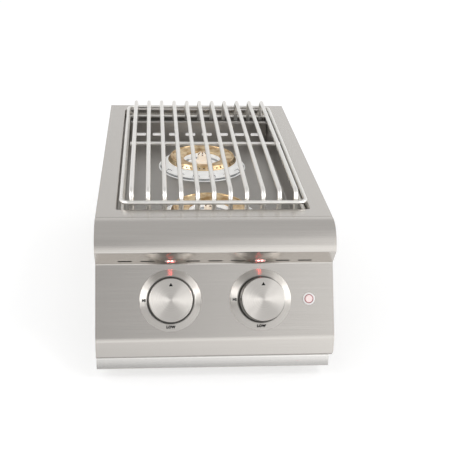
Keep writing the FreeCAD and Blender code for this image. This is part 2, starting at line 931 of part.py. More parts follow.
def pipe_coupling():
    start = vec(manifold_right - coupling_length / 2, manifold_y, manifold_z)
    end = vec(manifold_right + coupling_length / 2, manifold_y, manifold_z)
    sleeve = rod(start, end, manifold_radius + coupling_wall)
    return sleeve.cut(rod(start, end, manifold_radius))


def supply_pipe():
    points = [
        vec(manifold_right, manifold_y, manifold_z),
        vec(supply_x, manifold_y, manifold_z),
        vec(supply_x, shell_y - inlet_hex_height, manifold_z),
    ]
    return bent_tube(points, supply_bend, manifold_radius, manifold_bore)


def inlet_fitting():
    """The gas inlet: a hexagon inside the rear wall, a collar through it and a male thread outside."""
    thread_start = outer_y + inlet_collar_length
    thread_end = thread_start + inlet_thread_length
    hexagon_part = hexagon(inlet_hex, shell_y - inlet_hex_height, shell_y)
    collar = disc(inlet_collar_radius, shell_y, thread_start)
    thread = disc(inlet_thread_radius, thread_start, thread_end)
    tip = [edge for edge in thread.Edges if edge.BoundBox.ZMin > thread_end - inlet_chamfer]
    thread = thread.makeChamfer(inlet_chamfer, tip)
    fitting = hexagon_part.fuse(collar).fuse(thread).cut(disc(inlet_bore, 0, thread_end))
    fitting.rotate(vec(0, 0, 0), vec(1, 0, 0), -90)
    fitting.translate(vec(supply_x, 0, manifold_z))
    return fitting


def manifold_brackets():
    """Two straps that carry the manifold from the bulkhead."""
    solids = []
    reach = manifold_radius + bracket_sheet
    for side in (-1, 1):
        x = side * bracket_x
        x0 = x - bracket_width / 2
        x1 = x + bracket_width / 2
        pipe_part = rod(vec(x0, manifold_y, manifold_z), vec(x1, manifold_y, manifold_z), manifold_radius)
        strap = rod(vec(x0, manifold_y, manifold_z), vec(x1, manifold_y, manifold_z), reach)
        arm_z = manifold_z - bracket_sheet
        arm = block(x0, x1, manifold_y + manifold_radius, -outer_y, arm_z, arm_z + 2 * bracket_sheet)
        foot_z = reach + bracket_foot
        foot = block(x0, x1, -outer_y - bracket_sheet, -outer_y, manifold_z - foot_z, manifold_z + foot_z)
        bracket = strap.fuse(arm).fuse(foot).cut(pipe_part)
        behind = block(x0, x1, -outer_y, 0, manifold_z - foot_z, manifold_z + foot_z)
        solids.append(bracket.cut(behind))
    return Part.makeCompound(solids)


def lamp_housings():
    solids = []
    for name, x in KNOBS:
        half_x = lamp_body_length / 2
        half_y = lamp_body_width / 2
        body = block(-half_x, half_x, -half_y, half_y, -panel_sheet - lamp_body_height, -panel_sheet)
        hole_x = lamp_length / 2
        hole_y = lamp_width / 2
        pocket = block(-hole_x, hole_x, -hole_y, hole_y, -panel_sheet - lens_depth, 0)
        solids.append(on_underside(body.cut(pocket), x))
    return Part.makeCompound(solids)


def lamp_lenses():
    solids = []
    for name, x in KNOBS:
        half_x = lamp_length / 2 - run_gap
        half_y = lamp_width / 2 - run_gap
        low = -panel_sheet - lens_depth
        lens = block(-half_x, half_x, -half_y, half_y, low, lens_sheet - panel_sheet)
        solids.append(on_underside(lens, x))
    return Part.makeCompound(solids)


def button_housing():
    flange = disc(button_flange_radius, 0, button_flange_height)
    rim = [edge for edge in flange.Edges if edge.BoundBox.ZMin > button_flange_height - edge_chamfer]
    flange = flange.makeChamfer(edge_chamfer, rim)
    housing = flange.fuse(disc(button_barrel_radius, -button_barrel_length, 0))
    low = -button_barrel_length + button_floor
    housing = housing.cut(disc(button_radius + button_gap, low, button_flange_height + 1))
    seat = button_flange_height - light_ring_sheet
    return on_panel(housing.cut(disc(light_ring_radius, seat, button_flange_height + 1)), button_x)


def button_light_ring():
    z0 = button_flange_height - light_ring_sheet
    shape = ring(light_ring_radius, button_radius + button_gap, z0, button_flange_height)
    return on_panel(shape, button_x)


def button_cap():
    z1 = button_flange_height + button_proud
    cap = disc(button_radius, z1 - button_length, z1)
    cap = cap.makeFillet(edge_chamfer, [edge for edge in cap.Edges if edge.BoundBox.ZMin > z1 - edge_chamfer])
    return on_panel(cap, button_x)


def button_nut():
    nut = hexagon(button_nut_width, -panel_sheet - button_nut_height, -panel_sheet)
    nut.rotate(vec(0, 0, 0), vec(0, 0, 1), 30)
    return on_panel(nut.cut(disc(button_barrel_radius + run_gap, -button_barrel_length, 0)), button_x)


def bulkhead_box(width, height, x):
    face_y = -outer_y - module_depth
    z0 = module_z - height / 2
    box_part = block(x - width / 2, x + width / 2, face_y, -outer_y, z0, z0 + height)
    fronts = [edge for edge in box_part.Edges if edge.BoundBox.YMax < face_y + module_round]
    return box_part.makeFillet(module_round, fronts)


def ignition_module():
    body = bulkhead_box(module_width, module_height, -module_x)
    z = module_z - module_height / 2
    for k in range(terminal_count):
        x = -module_x + (k - (terminal_count - 1) / 2) * module_width / (terminal_count + 1)
        body = body.fuse(disc(terminal_radius, z - terminal_length, z, x, -outer_y - module_depth / 2))
    return body


def lamp_driver():
    return bulkhead_box(driver_width, driver_height, module_x)


def body_screws():
    """Screws through the side walls into the folds of the end walls and of the floor pan."""
    solids = []
    rows = []
    fold_y = shell_y - fold_width / 2
    span = box_height - 2 * body_screw_margin
    for k in range(body_screw_count):
        z = -body_screw_margin - span * k / (body_screw_count - 1)
        rows += [(-fold_y, z), (fold_y, z)]
    pan_z = -box_height + wall_sheet + fold_width / 2
    rows += [(y, pan_z) for y in (-shell_y * pan_screw_share, 0, shell_y * pan_screw_share)]
    for side in (-1, 1):
        for y, z in rows:
            shape = screw()
            shape.rotate(vec(0, 0, 0), vec(0, 1, 0), side * 90)
            shape.translate(vec(side * outer_x, y, z))
            solids.append(shape)
    return solids


def seam_screws():
    """Screws that join the panel's return to the flange's apron, from behind."""
    solids = []
    for x in (-seam_screw_x, -seam_screw_x / 3, seam_screw_x / 3, seam_screw_x):
        shape = screw(sheet_screw_grip)
        shape.rotate(vec(0, 0, 0), vec(1, 0, 0), -90)
        shape.translate(vec(x, front_y + flange_sheet, -apron_depth / 2))
        solids.append(shape)
    return solids


def trim_screws():
    """Screws up through the trim's top fold into the panel's hem."""
    solids = []
    for x in (-trim_screw_x, 0, trim_screw_x):
        shape = screw(sheet_screw_grip)
        shape.rotate(vec(0, 0, 0), vec(1, 0, 0), 180)
        shape.translate(vec(x, lip_y + hem_width * hem_screw_share, lip_z - panel_sheet))
        solids.append(shape)
    return solids


def grid_ring(z):
    """One closed perimeter rod with rounded corners."""
    half_x = grid_width / 2
    half_y = grid_length / 2
    c = grid_corner
    s = c * (1 - math.sqrt(0.5))
    x = half_x
    y = half_y
    edges = [
        Part.LineSegment(vec(-x + c, -y, z), vec(x - c, -y, z)).toShape(),
        Part.Arc(vec(x - c, -y, z), vec(x - s, -y + s, z), vec(x, -y + c, z)).toShape(),
        Part.LineSegment(vec(x, -y + c, z), vec(x, y - c, z)).toShape(),
        Part.Arc(vec(x, y - c, z), vec(x - s, y - s, z), vec(x - c, y, z)).toShape(),
        Part.LineSegment(vec(x - c, y, z), vec(-x + c, y, z)).toShape(),
        Part.Arc(vec(-x + c, y, z), vec(-x + s, y - s, z), vec(-x, y - c, z)).toShape(),
        Part.LineSegment(vec(-x, y - c, z), vec(-x, -y + c, z)).toShape(),
        Part.Arc(vec(-x, -y + c, z), vec(-x + s, -y + s, z), vec(-x + c, -y, z)).toShape(),
    ]
    section = Part.Wire([Part.makeCircle(grid_ring_radius, vec(-x + c, -y, z), vec(1, 0, 0))])
    shape = Part.Wire(edges).makePipeShell([section], True, False)
    shape.translate(vec(grid_shift_x, grid_shift_y, 0))
    return shape


def grid_rings():
    return Part.makeCompound([grid_ring(upper_ring_height), grid_ring(lower_ring_height)])


def grid_rods():
    """The bent rods welded inside the two rings, and the cross rod under their middle."""
    solids = []
    leg_y = grid_length / 2 - grid_ring_radius - grid_rod_radius
    for k in range(rod_count):
        x = (k - (rod_count - 1) / 2) * rod_pitch
        points = [
            vec(x, -leg_y, leg_end),
            vec(x, -leg_y, rod_height),
            vec(x, leg_y, rod_height),
            vec(x, leg_y, leg_end),
        ]
        solids.append(swept(points, rod_bend, grid_rod_radius))
    half = (rod_count - 1) / 2 * rod_pitch + grid_rod_radius * 2
    z = rod_height - grid_rod_radius - grid_ring_radius
    solids.append(rod(vec(-half, 0, z), vec(half, 0, z), grid_ring_radius))
    group = Part.makeCompound(solids)
    group.translate(vec(grid_shift_x, grid_shift_y, 0))
    return group


def save(name, shape):
    shape.exportStep("parts/" + name + ".step")
    print(name, len(shape.Solids), shape.isValid(), round(shape.Volume / 1000, 2))


def main():
    os.makedirs("parts", exist_ok=True)
    save("top_flange", top_flange())
    save("side_wall_left", side_wall(-1))
    save("side_wall_right", side_wall(1))
    save("rear_wall", rear_wall())
    save("front_bulkhead", front_bulkhead())
    save("floor_pan", floor_pan())
    save("front_panel", front_panel())
    save("lower_trim", lower_trim())
    save("burner_tray", burner_tray())
    save("tray_hangers", tray_hangers())
    save("rear_baffle", rear_baffle())
    save("grid_rings", grid_rings())
    save("grid_rods", grid_rods())
    for side, (name, y) in zip((-1, 1), BURNERS):
        save("burner_cup_" + name, burner_cup(y))
        save("burner_ring_" + name, burner_ring(y))
        save("burner_post_" + name, center_post(y))
        save("electrode_" + name, electrode(y))
        save("jet_holder_" + name, jet_holder(y, side))
        save("gas_tube_" + name, gas_tube(side * knob_spacing / 2, y, side))
    for name, x in KNOBS:
        save("valve_body_" + name, valve_body(x))
        save("valve_plug_" + name, valve_plug(x))
        save("valve_stem_" + name, valve_stem(x))
        save("knob_skirt_" + name, knob_skirt(x))
        save("knob_cap_" + name, knob_cap(x))
        save("knob_pointer_" + name, on_panel(pointer_shape(), x))
        save("knob_bezel_" + name, knob_bezel(x))
    save("manifold", manifold())
    save("pipe_coupling", pipe_coupling())
    save("supply_pipe", supply_pipe())
    save("inlet_fitting", inlet_fitting())
    save("manifold_brackets", manifold_brackets())
    save("lamp_housings", lamp_housings())
    save("lamp_lenses", lamp_lenses())
    save("button_housing", button_housing())
    save("button_light_ring", button_light_ring())
    save("button_cap", button_cap())
    save("button_nut", button_nut())
    save("ignition_module", ignition_module())
    save("lamp_driver", lamp_driver())
    save("bezel_screws", bezel_screws())
    save("body_screws", Part.makeCompound(body_screws()))
    save("seam_screws", Part.makeCompound(seam_screws()))
    save("trim_screws", Part.makeCompound(trim_screws()))
    save("tray_screws", Part.makeCompound(tray_screws()))


main()
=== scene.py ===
import json
import math
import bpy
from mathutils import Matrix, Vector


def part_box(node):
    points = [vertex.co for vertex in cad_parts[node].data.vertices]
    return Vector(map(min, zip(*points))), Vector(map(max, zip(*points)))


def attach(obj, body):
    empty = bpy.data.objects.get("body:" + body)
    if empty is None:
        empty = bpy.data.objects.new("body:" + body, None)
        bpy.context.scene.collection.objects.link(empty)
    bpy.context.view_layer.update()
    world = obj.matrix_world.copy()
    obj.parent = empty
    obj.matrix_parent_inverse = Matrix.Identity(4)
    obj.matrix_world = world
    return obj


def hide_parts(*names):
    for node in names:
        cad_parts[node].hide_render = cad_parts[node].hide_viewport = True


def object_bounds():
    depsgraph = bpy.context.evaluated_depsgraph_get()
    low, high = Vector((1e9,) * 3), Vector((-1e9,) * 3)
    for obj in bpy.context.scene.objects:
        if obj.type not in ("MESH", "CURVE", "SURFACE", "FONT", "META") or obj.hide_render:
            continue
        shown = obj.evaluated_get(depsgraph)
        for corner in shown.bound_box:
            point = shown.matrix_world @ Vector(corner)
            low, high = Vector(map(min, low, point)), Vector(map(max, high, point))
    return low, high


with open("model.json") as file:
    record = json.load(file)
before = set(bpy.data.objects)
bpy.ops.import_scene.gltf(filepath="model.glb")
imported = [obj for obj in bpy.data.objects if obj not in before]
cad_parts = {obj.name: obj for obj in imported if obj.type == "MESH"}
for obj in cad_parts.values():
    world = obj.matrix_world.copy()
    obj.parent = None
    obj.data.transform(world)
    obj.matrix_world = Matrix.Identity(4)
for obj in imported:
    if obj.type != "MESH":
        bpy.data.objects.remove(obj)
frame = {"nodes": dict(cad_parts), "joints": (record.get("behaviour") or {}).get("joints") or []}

from types import SimpleNamespace

import bmesh
import bpy
from mathutils import Matrix, Vector

bl_info = {
    "name": "Built-in side burner",
    "version": (1, 0, 0),
    "blender": (4, 5, 0),
    "location": "View3D > Sidebar > Burner",
    "description": "Dresses a drop-in double side burner in brushed steel, brass and cast aluminium",
    "category": "Object",
}

CAD_BOX = [list(corner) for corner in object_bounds()]
JOINTS = {joint["name"]: joint for joint in frame["joints"]}
TILT = math.degrees(math.asin(JOINTS["turn_left"]["axis"][2]))
AXIS_Y, AXIS_Z = (1000 * value for value in JOINTS["turn_left"]["pos_m"][1:])
KNOB_X = 1000 * JOINTS["turn_right"]["pos_m"][0]

FLOOR = CAD_BOX[0][2]
METRES = Matrix.Scale(0.001, 4)
WHITE = (1, 1, 1, 1)

# Lengths in mm that the modelling steps share.
NEAR = 0.01  # how close to a line or level a point lies to count as on it
POLE = 0.002  # a ring this small closes up into one point on the axis
CUTTER_HEIGHT = 20
SHEET_EDGE = 0.25  # the rounding of a sheet's edges
SCREW_HEAD = 2.4  # the height of a pan head
MAP_UNIT = 100  # the length that one unit of a turned piece's map stands for


def length(label, text, value):
    """A length property whose default is given in millimetres."""
    return bpy.props.FloatProperty(
        name=label, description=text, default=value / 1000, min=0, precision=4, unit="LENGTH"
    )


def srgb(text):
    """A hex colour as the linear colour that a shader takes."""
    values = [int(text[k : k + 2], 16) / 255 for k in (0, 2, 4)]
    return tuple(v / 12.92 if v <= 0.04045 else ((v + 0.055) / 1.055) ** 2.4 for v in values) + (1.0,)


def colour(label, text, value):
    return bpy.props.FloatVectorProperty(
        name=label, description=text, default=srgb(value), size=4, min=0, max=1, subtype="COLOR"
    )


class SheetSizes(bpy.types.PropertyGroup):
    """Sizes of the sheet-metal pieces."""

    sheet: length("Sheet", "Thickness of the panel's sheet", 1.2)
    flange_sheet: length("Flange sheet", "Thickness of the top flange", 1.5)
    opening_width: length("Opening width", "Width of the opening in the flange", 277)
    opening_depth: length("Opening depth", "Depth of the opening in the flange", 491)
    opening_corner: length("Opening corner", "Corner radius of the opening", 5)
    bend: length("Bend", "Outer radius of a folded edge", 2.2)
    throat_bend: length("Throat bend", "Radius of the fold under the nose", 2.5)
    nose_flat: length("Nose flat", "Flat part of the panel in front of the flange", 6)
    nose_radius: length("Nose radius", "Radius of the panel's rounded nose", 38)
    nose_drop: length("Nose drop", "Drop from the flange to the end of the rounded nose", 34.2)
    throat_reach: length("Throat reach", "Reach of the fold under the nose", 26)
    throat_drop: length("Throat drop", "Drop of the fold under the nose", 59.7)
    foot_reach: length("Foot reach", "Reach of the fold above the lip", 77.1)
    foot_drop: length("Foot drop", "Drop of the fold above the lip", 151.4)
    foot_bend: length("Foot bend", "Radius of the soft fold above the lip", 16)
    lip_bend: length("Lip bend", "Radius of the fold under the lip", 3.5)
    lip_corner: length("Lip corner", "Radius of the lip's lower right corner", 7)
    lip_height: length("Lip height", "Height of the lip under the slanted face", 29)
    lip_step: length("Lip step", "How far the lip leans forward", 1.2)
    hem: length("Hem", "Depth of the hem under the lip", 14)
    seam: length("Seam", "Gap between the flange and the panel", 0.4)
    apron: length("Apron", "Depth of the folds at the seam", 12)
    vent_pitch: length("Vent pitch", "Distance between vents under the nose", 31.4)
    vent_length: length("Vent length", "Length of a vent", 20)
    vent_width: length("Vent width", "Width of a vent", 3)
    vent_offset: length("Vent offset", "Distance of the vents from the fold under the nose", 7.4)
    lamp_length: length("Lamp length", "Length of a lamp's window", 15)
    lamp_width: length("Lamp width", "Width of a lamp's window", 4.4)
    trim_inset: length("Trim inset", "How far the lower trim stands back", 3.5)
    tray_corner: length("Tray corner", "Radius of the tray's corners", 7)
    tray_sheet: length("Tray sheet", "Thickness of the tray and its baffle", 1.0)


class GridSizes(bpy.types.PropertyGroup):
    """Sizes of the cooking grid."""

    rod: length("Rod", "Radius of the bent rods", 3.5)
    ring: length("Ring", "Radius of the perimeter rods", 3.1)
    bend: length("Bend", "Radius of the rods' bends", 12)
    corner: length("Corner", "Radius of the rings' corners", 12)
    rod_pitch: length("Rod pitch", "Distance between the bent rods", 23.7)


class BurnerSizes(bpy.types.PropertyGroup):
    """Sizes of the burners."""

    cup: length("Cup", "Outer radius of the cup's lip", 76)
    cup_band: length("Cup band", "Radius of the cup's sloping band at its foot", 73.5)
    cup_wall: length("Cup wall", "Height of the cup's inner wall over the tray", 13.5)
    cup_rise: length("Cup rise", "Height of the cup's seat over the tray", 13.5)
    ring: length("Ring", "Outer radius of the brass ring", 59.5)
    ring_inner: length("Ring inner", "Inner radius of the brass ring", 33)
    ring_rise: length("Ring rise", "Height of the brass ring's top over the tray", 21)
    ring_ridge: length("Ring ridge", "Radius of the ridge at the ring's top", 55)
    ring_drop: length("Ring drop", "How far the ring's top slopes down to its inside", 4)
    port: length("Port", "Radius of a flame port", 1.25)
    port_rise: length("Port rise", "Height of the flame ports over the tray", 17)
    post: length("Post", "Radius of the centre post", 8.5)
    post_dome: length("Post dome", "Height of the post's domed top", 7)
    post_rise: length("Post rise", "Height of the centre post over the tray", 28)


class KnobSizes(bpy.types.PropertyGroup):
    """Sizes of the knobs, bezels and button."""

    bezel: length("Bezel", "Outer radius of the bezel", 42.8)
    bezel_height: length("Bezel height", "Height of the bezel", 9)
    bezel_rim: length("Bezel rim", "Height of the bezel's rim", 2.5)
    bezel_crown: length("Bezel crown", "Width of the bezel's flat crown", 1.7)
    gap: length("Gap", "Gap between the skirt and the bezel", 0.7)
    skirt: length("Skirt", "Radius of the skirt at its foot", 31.5)
    skirt_top: length("Skirt top", "Radius of the skirt at its top", 29.8)
    skirt_foot: length("Skirt foot", "Height of the skirt's foot over the panel", 5.5)
    skirt_height: length("Skirt height", "Height of the skirt's top over the panel", 36)
    cap: length("Cap", "Radius of the cap", 29.3)
    cap_sheet: length("Cap sheet", "Thickness of the cap", 2.2)
    letter: length("Letter", "Height of the dial's letters", 4.8)
    button_flange: length("Button flange", "Radius of the button's rim", 8.6)
    button: length("Button", "Radius of the button", 5.15)
    light_ring: length("Light ring", "Outer radius of the light ring", 6.3)


class Finishes(bpy.types.PropertyGroup):
    """Colours of the finishes."""

    steel: colour("Steel", "Brushed stainless steel", "CECAC5")
    steel_dark: colour("Steel grain", "Darker lines of the brushed steel", "C5C1BC")
    brass: colour("Brass", "Machined brass", "FAE8C6")
    aluminium: colour("Aluminium", "Cast aluminium", "F6F6F5")
    # The skirt's dark tone is painted reflection of dark surroundings that the chrome mirrors.
    skirt_dark_reflection: colour("Smoke", "Chrome of the knob's skirt, darkened as painted reflection", "55534F")
    led: colour("Lamp", "Red of the lamps", "FF5553")


class BurnerLook(bpy.types.PropertyGroup):
    """All the sizes and colours that can be changed."""

    sheets: bpy.props.PointerProperty(type=SheetSizes, name="Sheets", description="Sheet-metal sizes")
    grid: bpy.props.PointerProperty(type=GridSizes, name="Grid", description="Cooking grid sizes")
    burners: bpy.props.PointerProperty(type=BurnerSizes, name="Burners", description="Burner sizes")
    knobs: bpy.props.PointerProperty(type=KnobSizes, name="Knobs", description="Knob and button sizes")
    finishes: bpy.props.PointerProperty(type=Finishes, name="Finishes", description="Colours")


def in_mm(group):
    """The group's lengths in millimetres, which the pieces are modelled in."""
    return SimpleNamespace(**{name: getattr(group, name) * 1000 for name in type(group).__annotations__})


def box_mm(node):
    low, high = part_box(node)
    return low * 1000, high * 1000


def middle_mm(node):
    return sum(box_mm(node), Vector()) / 2


# Modelling steps

def deselect():
    if bpy.context.object and bpy.context.object.mode != "OBJECT":
        bpy.ops.object.mode_set(mode="OBJECT")
    bpy.ops.object.select_all(action="DESELECT")


def only(*objs):
    deselect()
    for obj in objs:
        obj.select_set(True)
    bpy.context.view_layer.objects.active = objs[0]


def begin(primitive, **settings):
    """Add a primitive, put its place in its mesh and open it in edit mode, all selected."""
    deselect()
    primitive(**settings)
    bpy.ops.object.transform_apply(location=True, rotation=True, scale=True)
    bpy.ops.object.mode_set(mode="EDIT")
    bpy.ops.mesh.select_mode(type="VERT")
    bpy.ops.mesh.select_all(action="SELECT")
    return bpy.context.object


def pick(kind, test):
    """Select the open mesh's points, edges or faces whose centre passes the test."""
    obj = bpy.context.object
    bpy.ops.mesh.select_mode(type=kind)
    bpy.ops.mesh.select_all(action="DESELECT")
    mesh = bmesh.from_edit_mesh(obj.data)
    if kind == "VERT":
        chosen = [v for v in mesh.verts if test(v.co)]
    elif kind == "EDGE":
        chosen = [e for e in mesh.edges if all(test(v.co) for v in e.verts)]
    else:
        chosen = [f for f in mesh.faces if test(f.calc_center_median(), f.normal)]
    for item in chosen:
        item.select_set(True)
    mesh.select_flush_mode()
    bmesh.update_edit_mesh(obj.data)


def extrude(offset):
    bpy.ops.mesh.extrude_region_move(TRANSFORM_OT_translate={"value": offset})


def close_up(gap=0.004):
    """Merge what meets, point the faces outwards and leave edit mode."""
    bpy.ops.mesh.select_all(action="SELECT")
    bpy.ops.mesh.remove_doubles(threshold=gap)
    bpy.ops.mesh.normals_make_consistent(inside=False)
    bpy.ops.object.mode_set(mode="OBJECT")
    return bpy.context.object


def facing(obj, direction):
    """Turn an open sheet's faces so that its largest one looks the given way."""
    if max(obj.data.polygons, key=lambda face: face.area).normal.dot(direction) < 0:
        obj.data.flip_normals()
    return obj


def modify(obj, kind, **settings):
    """Add a modifier, set it and apply it."""
    only(obj)
    modifier = obj.modifiers.new(kind, kind)
    for key, value in settings.items():
        setattr(modifier, key, value)
    bpy.ops.object.modifier_apply(modifier=modifier.name)
    return obj


def soften(obj, width, segments=2, angle=40):
    """Round the edges that turn by more than an angle."""
    return modify(
        obj, "BEVEL", width=width, segments=segments, limit_method="ANGLE", angle_limit=math.radians(angle)
    )


def thicken(obj, sheet):
    """Give an open sheet, whose faces are its outer side, the thickness of its metal."""
    return modify(obj, "SOLIDIFY", thickness=sheet, offset=-1, use_even_offset=True)


def modify_with(obj, tool, operation):
    """Cut a tool out of a piece, or join it on, and remove the tool."""
    modify(obj, "BOOLEAN", operation=operation, solver="EXACT", object=tool, use_self=True)
    bpy.data.objects.remove(tool)
    return obj


def cut(obj, cutters):
    return modify_with(obj, merge(cutters), "DIFFERENCE")


def merge(objs):
    """Join several objects into the first one."""
    only(*objs)
    if len(objs) > 1:
        bpy.ops.object.join()
    return bpy.context.object


def place(obj, matrix):
    only(obj)
    obj.matrix_world = matrix @ obj.matrix_world
    bpy.ops.object.transform_apply(location=True, rotation=True, scale=True)
    return obj


def copies(obj, matrices):
    """The object, copied with its own mesh to each place, as one object."""
    made = []
    for matrix in matrices:
        twin = obj.copy()
        twin.data = obj.data.copy()
        bpy.context.scene.collection.objects.link(twin)
        made.append(place(twin, matrix))
    bpy.data.objects.remove(obj)
    return merge(made)


def arc(centre, radius, start, end, steps):
    """Points of an arc in a plane, from one angle in degrees to another."""
    angles = [math.radians(start + (end - start) * k / steps) for k in range(steps + 1)]
    return [(centre[0] + radius * math.cos(a), centre[1] + radius * math.sin(a)) for a in angles]


def rounded(corners, steps=6):
    """A path whose corners, given as (a, b, radius), are rounded."""
    points = []
    for k, (a, b, radius) in enumerate(corners):
        if not radius:
            points.append((a, b))
            continue
        here = Vector((a, b))
        into = (here - Vector(corners[k - 1][:2])).normalized()
        out = (Vector(corners[(k + 1) % len(corners)][:2]) - here).normalized()
        turn = into.angle_signed(out)
        reach = radius * math.tan(abs(turn) / 2)
        start = here - into * reach
        side = Vector((into.y, -into.x)) * (1 if turn > 0 else -1)
        centre = start + side * radius
        for step in range(steps + 1):
            spoke = start - centre
            spoke.rotate(Matrix.Rotation(-turn * step / steps, 2))
            points.append(tuple(centre + spoke))
    return points


def lathe(profile, segments=96):
    """A turned piece about Z: one circle, extruded and resized along a (radius, height) profile.
    A profile that leaves the axis and comes back to it is a whole outline; any other is closed on itself."""
    steps = [(max(r, POLE), z) for r, z in profile]
    back = [] if profile[0][0] == profile[-1][0] == 0 else steps[:1]
    radius, height = steps[0]
    begin(bpy.ops.mesh.primitive_circle_add, vertices=segments, radius=radius, location=(0, 0, height))
    for r, z in steps[1:] + back:
        extrude((0, 0, z - height))
        bpy.ops.transform.resize(value=(r / radius, r / radius, 1))
        radius, height = r, z
    return close_up()


def bent_sheet(path, x0, x1, sheet, outside):
    """A sheet bent along X: an edge, extruded from point to point of a (y, z) path, then thickened."""
    begin(bpy.ops.mesh.primitive_plane_add, size=1)
    pick("VERT", lambda co: co.y > 0)
    bpy.ops.mesh.delete(type="VERT")
    bpy.ops.mesh.select_all(action="SELECT")
    bpy.ops.transform.resize(value=(x1 - x0, 1, 1))
    y, z = path[0]
    bpy.ops.transform.translate(value=((x0 + x1) / 2, y + 0.5, z))
    bpy.ops.mesh.select_mode(type="EDGE")
    for next_y, next_z in path[1:]:
        extrude((0, next_y - y, next_z - z))
        y, z = next_y, next_z
    return thicken(facing(close_up(), outside), sheet)


def plate(outline, x0, x1):
    """A flat plate across X with an outline of (y, z) points, drawn point by point, filled and extruded."""
    begin(bpy.ops.mesh.primitive_plane_add, size=1)
    pick("VERT", lambda co: co.x > 0 or co.y > 0)
    bpy.ops.mesh.delete(type="VERT")
    bpy.ops.mesh.select_all(action="SELECT")
    y, z = outline[0]
    bpy.ops.transform.translate(value=(x0 + 0.5, y + 0.5, z))
    for next_y, next_z in outline[1:]:
        bpy.ops.mesh.extrude_vertices_move(TRANSFORM_OT_translate={"value": (0, next_y - y, next_z - z)})
        y, z = next_y, next_z
    bpy.ops.mesh.select_all(action="SELECT")
    bpy.ops.mesh.edge_face_add()
    bpy.ops.mesh.select_mode(type="FACE")
    bpy.ops.mesh.select_all(action="SELECT")
    extrude((x1 - x0, 0, 0))
    return close_up()


def rod(points, bend, radius, segments=20, steps=8):
    """A round rod: an end disc extruded along each run and spun round each bend."""
    along = (points[1] - points[0]).normalized()
    begin(
        bpy.ops.mesh.primitive_circle_add,
        vertices=segments,
        radius=radius,
        fill_type="NGON",
        location=points[0],
        rotation=along.to_track_quat("Z", "Y").to_euler(),
    )
    bpy.ops.mesh.select_mode(type="FACE")
    here = points[0]
    for corner, after in zip(points[1:], points[2:]):
        into = (corner - here).normalized()
        out = (after - corner).normalized()
        turn = into.angle(out)
        reach = bend * math.tan(turn / 2)
        extrude(corner - into * reach - here)
        here = corner - into * reach
        side = (out - into * into.dot(out)).normalized()
        # Spin turns against the right-hand rule, so its axis is reversed.
        bpy.ops.mesh.spin(steps=steps, angle=turn, center=here + side * bend, axis=out.cross(into))
        here = corner + out * reach
    extrude(points[-1] - here)
    return close_up()


def smooth(obj, angle):
    """Shade smooth, with each point's shading taken from its large faces, so that flats stay flat."""
    only(obj)
    bpy.ops.object.shade_smooth_by_angle(angle=math.radians(angle))
    return modify(obj, "WEIGHTED_NORMAL", keep_sharp=True, weight=90)


def turned_map(obj):
    """A map of a turned piece about Z: across it the radius, up it the angle."""
    layer = obj.data.uv_layers.new(name="turned") if not obj.data.uv_layers else obj.data.uv_layers[0]
    layer.name = "turned"
    for face in obj.data.polygons:
        middle = math.atan2(face.center.y, face.center.x)
        for loop in face.loop_indices:
            co = obj.data.vertices[obj.data.loops[loop].vertex_index].co
            radius = math.hypot(co.x, co.y)
            angle = math.atan2(co.y, co.x) if radius > NEAR else middle
            angle += math.tau * round((middle - angle) / math.tau)
            layer.data[loop].uv = (radius / MAP_UNIT, angle / math.tau)
    return obj


def hang(obj, name, body, finish_name):
    """Name a piece that is in its place, paint it and let it ride on its body."""
    obj.name = name
    obj.data.name = name
    paint(obj, finish_name)
    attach(obj, body)


def paint(obj, finish_name):
    obj.data.materials.clear()
    obj.data.materials.append(MATERIALS[finish_name])


def finish(obj, name, body, nodes, finish_name, matrix=Matrix.Identity(4), angle=35):
    """Bring a piece to its place in metres, shade it, and hang it where the nodes are that it stands for."""
    place(obj, METRES @ matrix)
    smooth(obj, angle)
    hang(obj, name, body, finish_name)
    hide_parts(*nodes)


def on_panel(x):
    """The place of something modelled on the XY plane and set on the slanted face, level with the knobs."""
    return Matrix.Translation((x, AXIS_Y, AXIS_Z)) @ Matrix.Rotation(math.radians(90 - TILT), 4, "X")


# Finishes

def add(mat, kind, values=None, links=None):
    """Add a shader node with its settings, by property or socket name, and its incoming links."""
    made = mat.node_tree.nodes.new(kind)
    for key, value in (values or {}).items():
        if isinstance(key, str) and hasattr(made, key):
            setattr(made, key, value)
        else:
            made.inputs[key].default_value = value
    for key, source in (links or {}).items():
        mat.node_tree.links.new(source, made.inputs[key])
    return made


def shader_of(mat):
    return mat.node_tree.nodes["Principled BSDF"]


def finish_named(name, **values):
    """A new material, with the values of its shader that are the same all over."""
    mat = bpy.data.materials.new(name)
    mat.use_nodes = True
    for key, value in values.items():
        shader_of(mat).inputs[key.replace("_", " ")].default_value = value
    return mat


def drive(mat, name, socket):
    """Let a socket drive one of the shader's inputs."""
    mat.node_tree.links.new(socket, shader_of(mat).inputs[name])


def colour_now(mat):
    """The socket that a material's colour comes from so far."""
    return shader_of(mat).inputs["Base Color"].links[0].from_socket


def per_mm(x, y, z):
    """The scale that makes a pattern's unit this many millimetres along each axis."""
    return (1000 / x, 1000 / y, 1000 / z)


def pattern(mat, size, detail, coordinate="Object"):
    """Noise whose features have a real size in millimetres."""
    coords = add(mat, "ShaderNodeTexCoord")
    mapping = add(mat, "ShaderNodeMapping", {"Scale": size}, {"Vector": coords.outputs[coordinate]})
    values = {"Scale": 1.0, "Detail": detail, "Roughness": 0.55}
    return add(mat, "ShaderNodeTexNoise", values, {"Vector": mapping.outputs[0]}).outputs["Fac"]


# The middle of a noise's range, which holds nearly all of it and is spread over the range that is wanted.
MIDDLE = {"From Min": 0.3, "From Max": 0.7}

# A Mix node of two colours: input 0 is its factor, inputs 6 and 7 are the colours, and output 2 is the
# result.
COLOURS = {"data_type": "RGBA"}


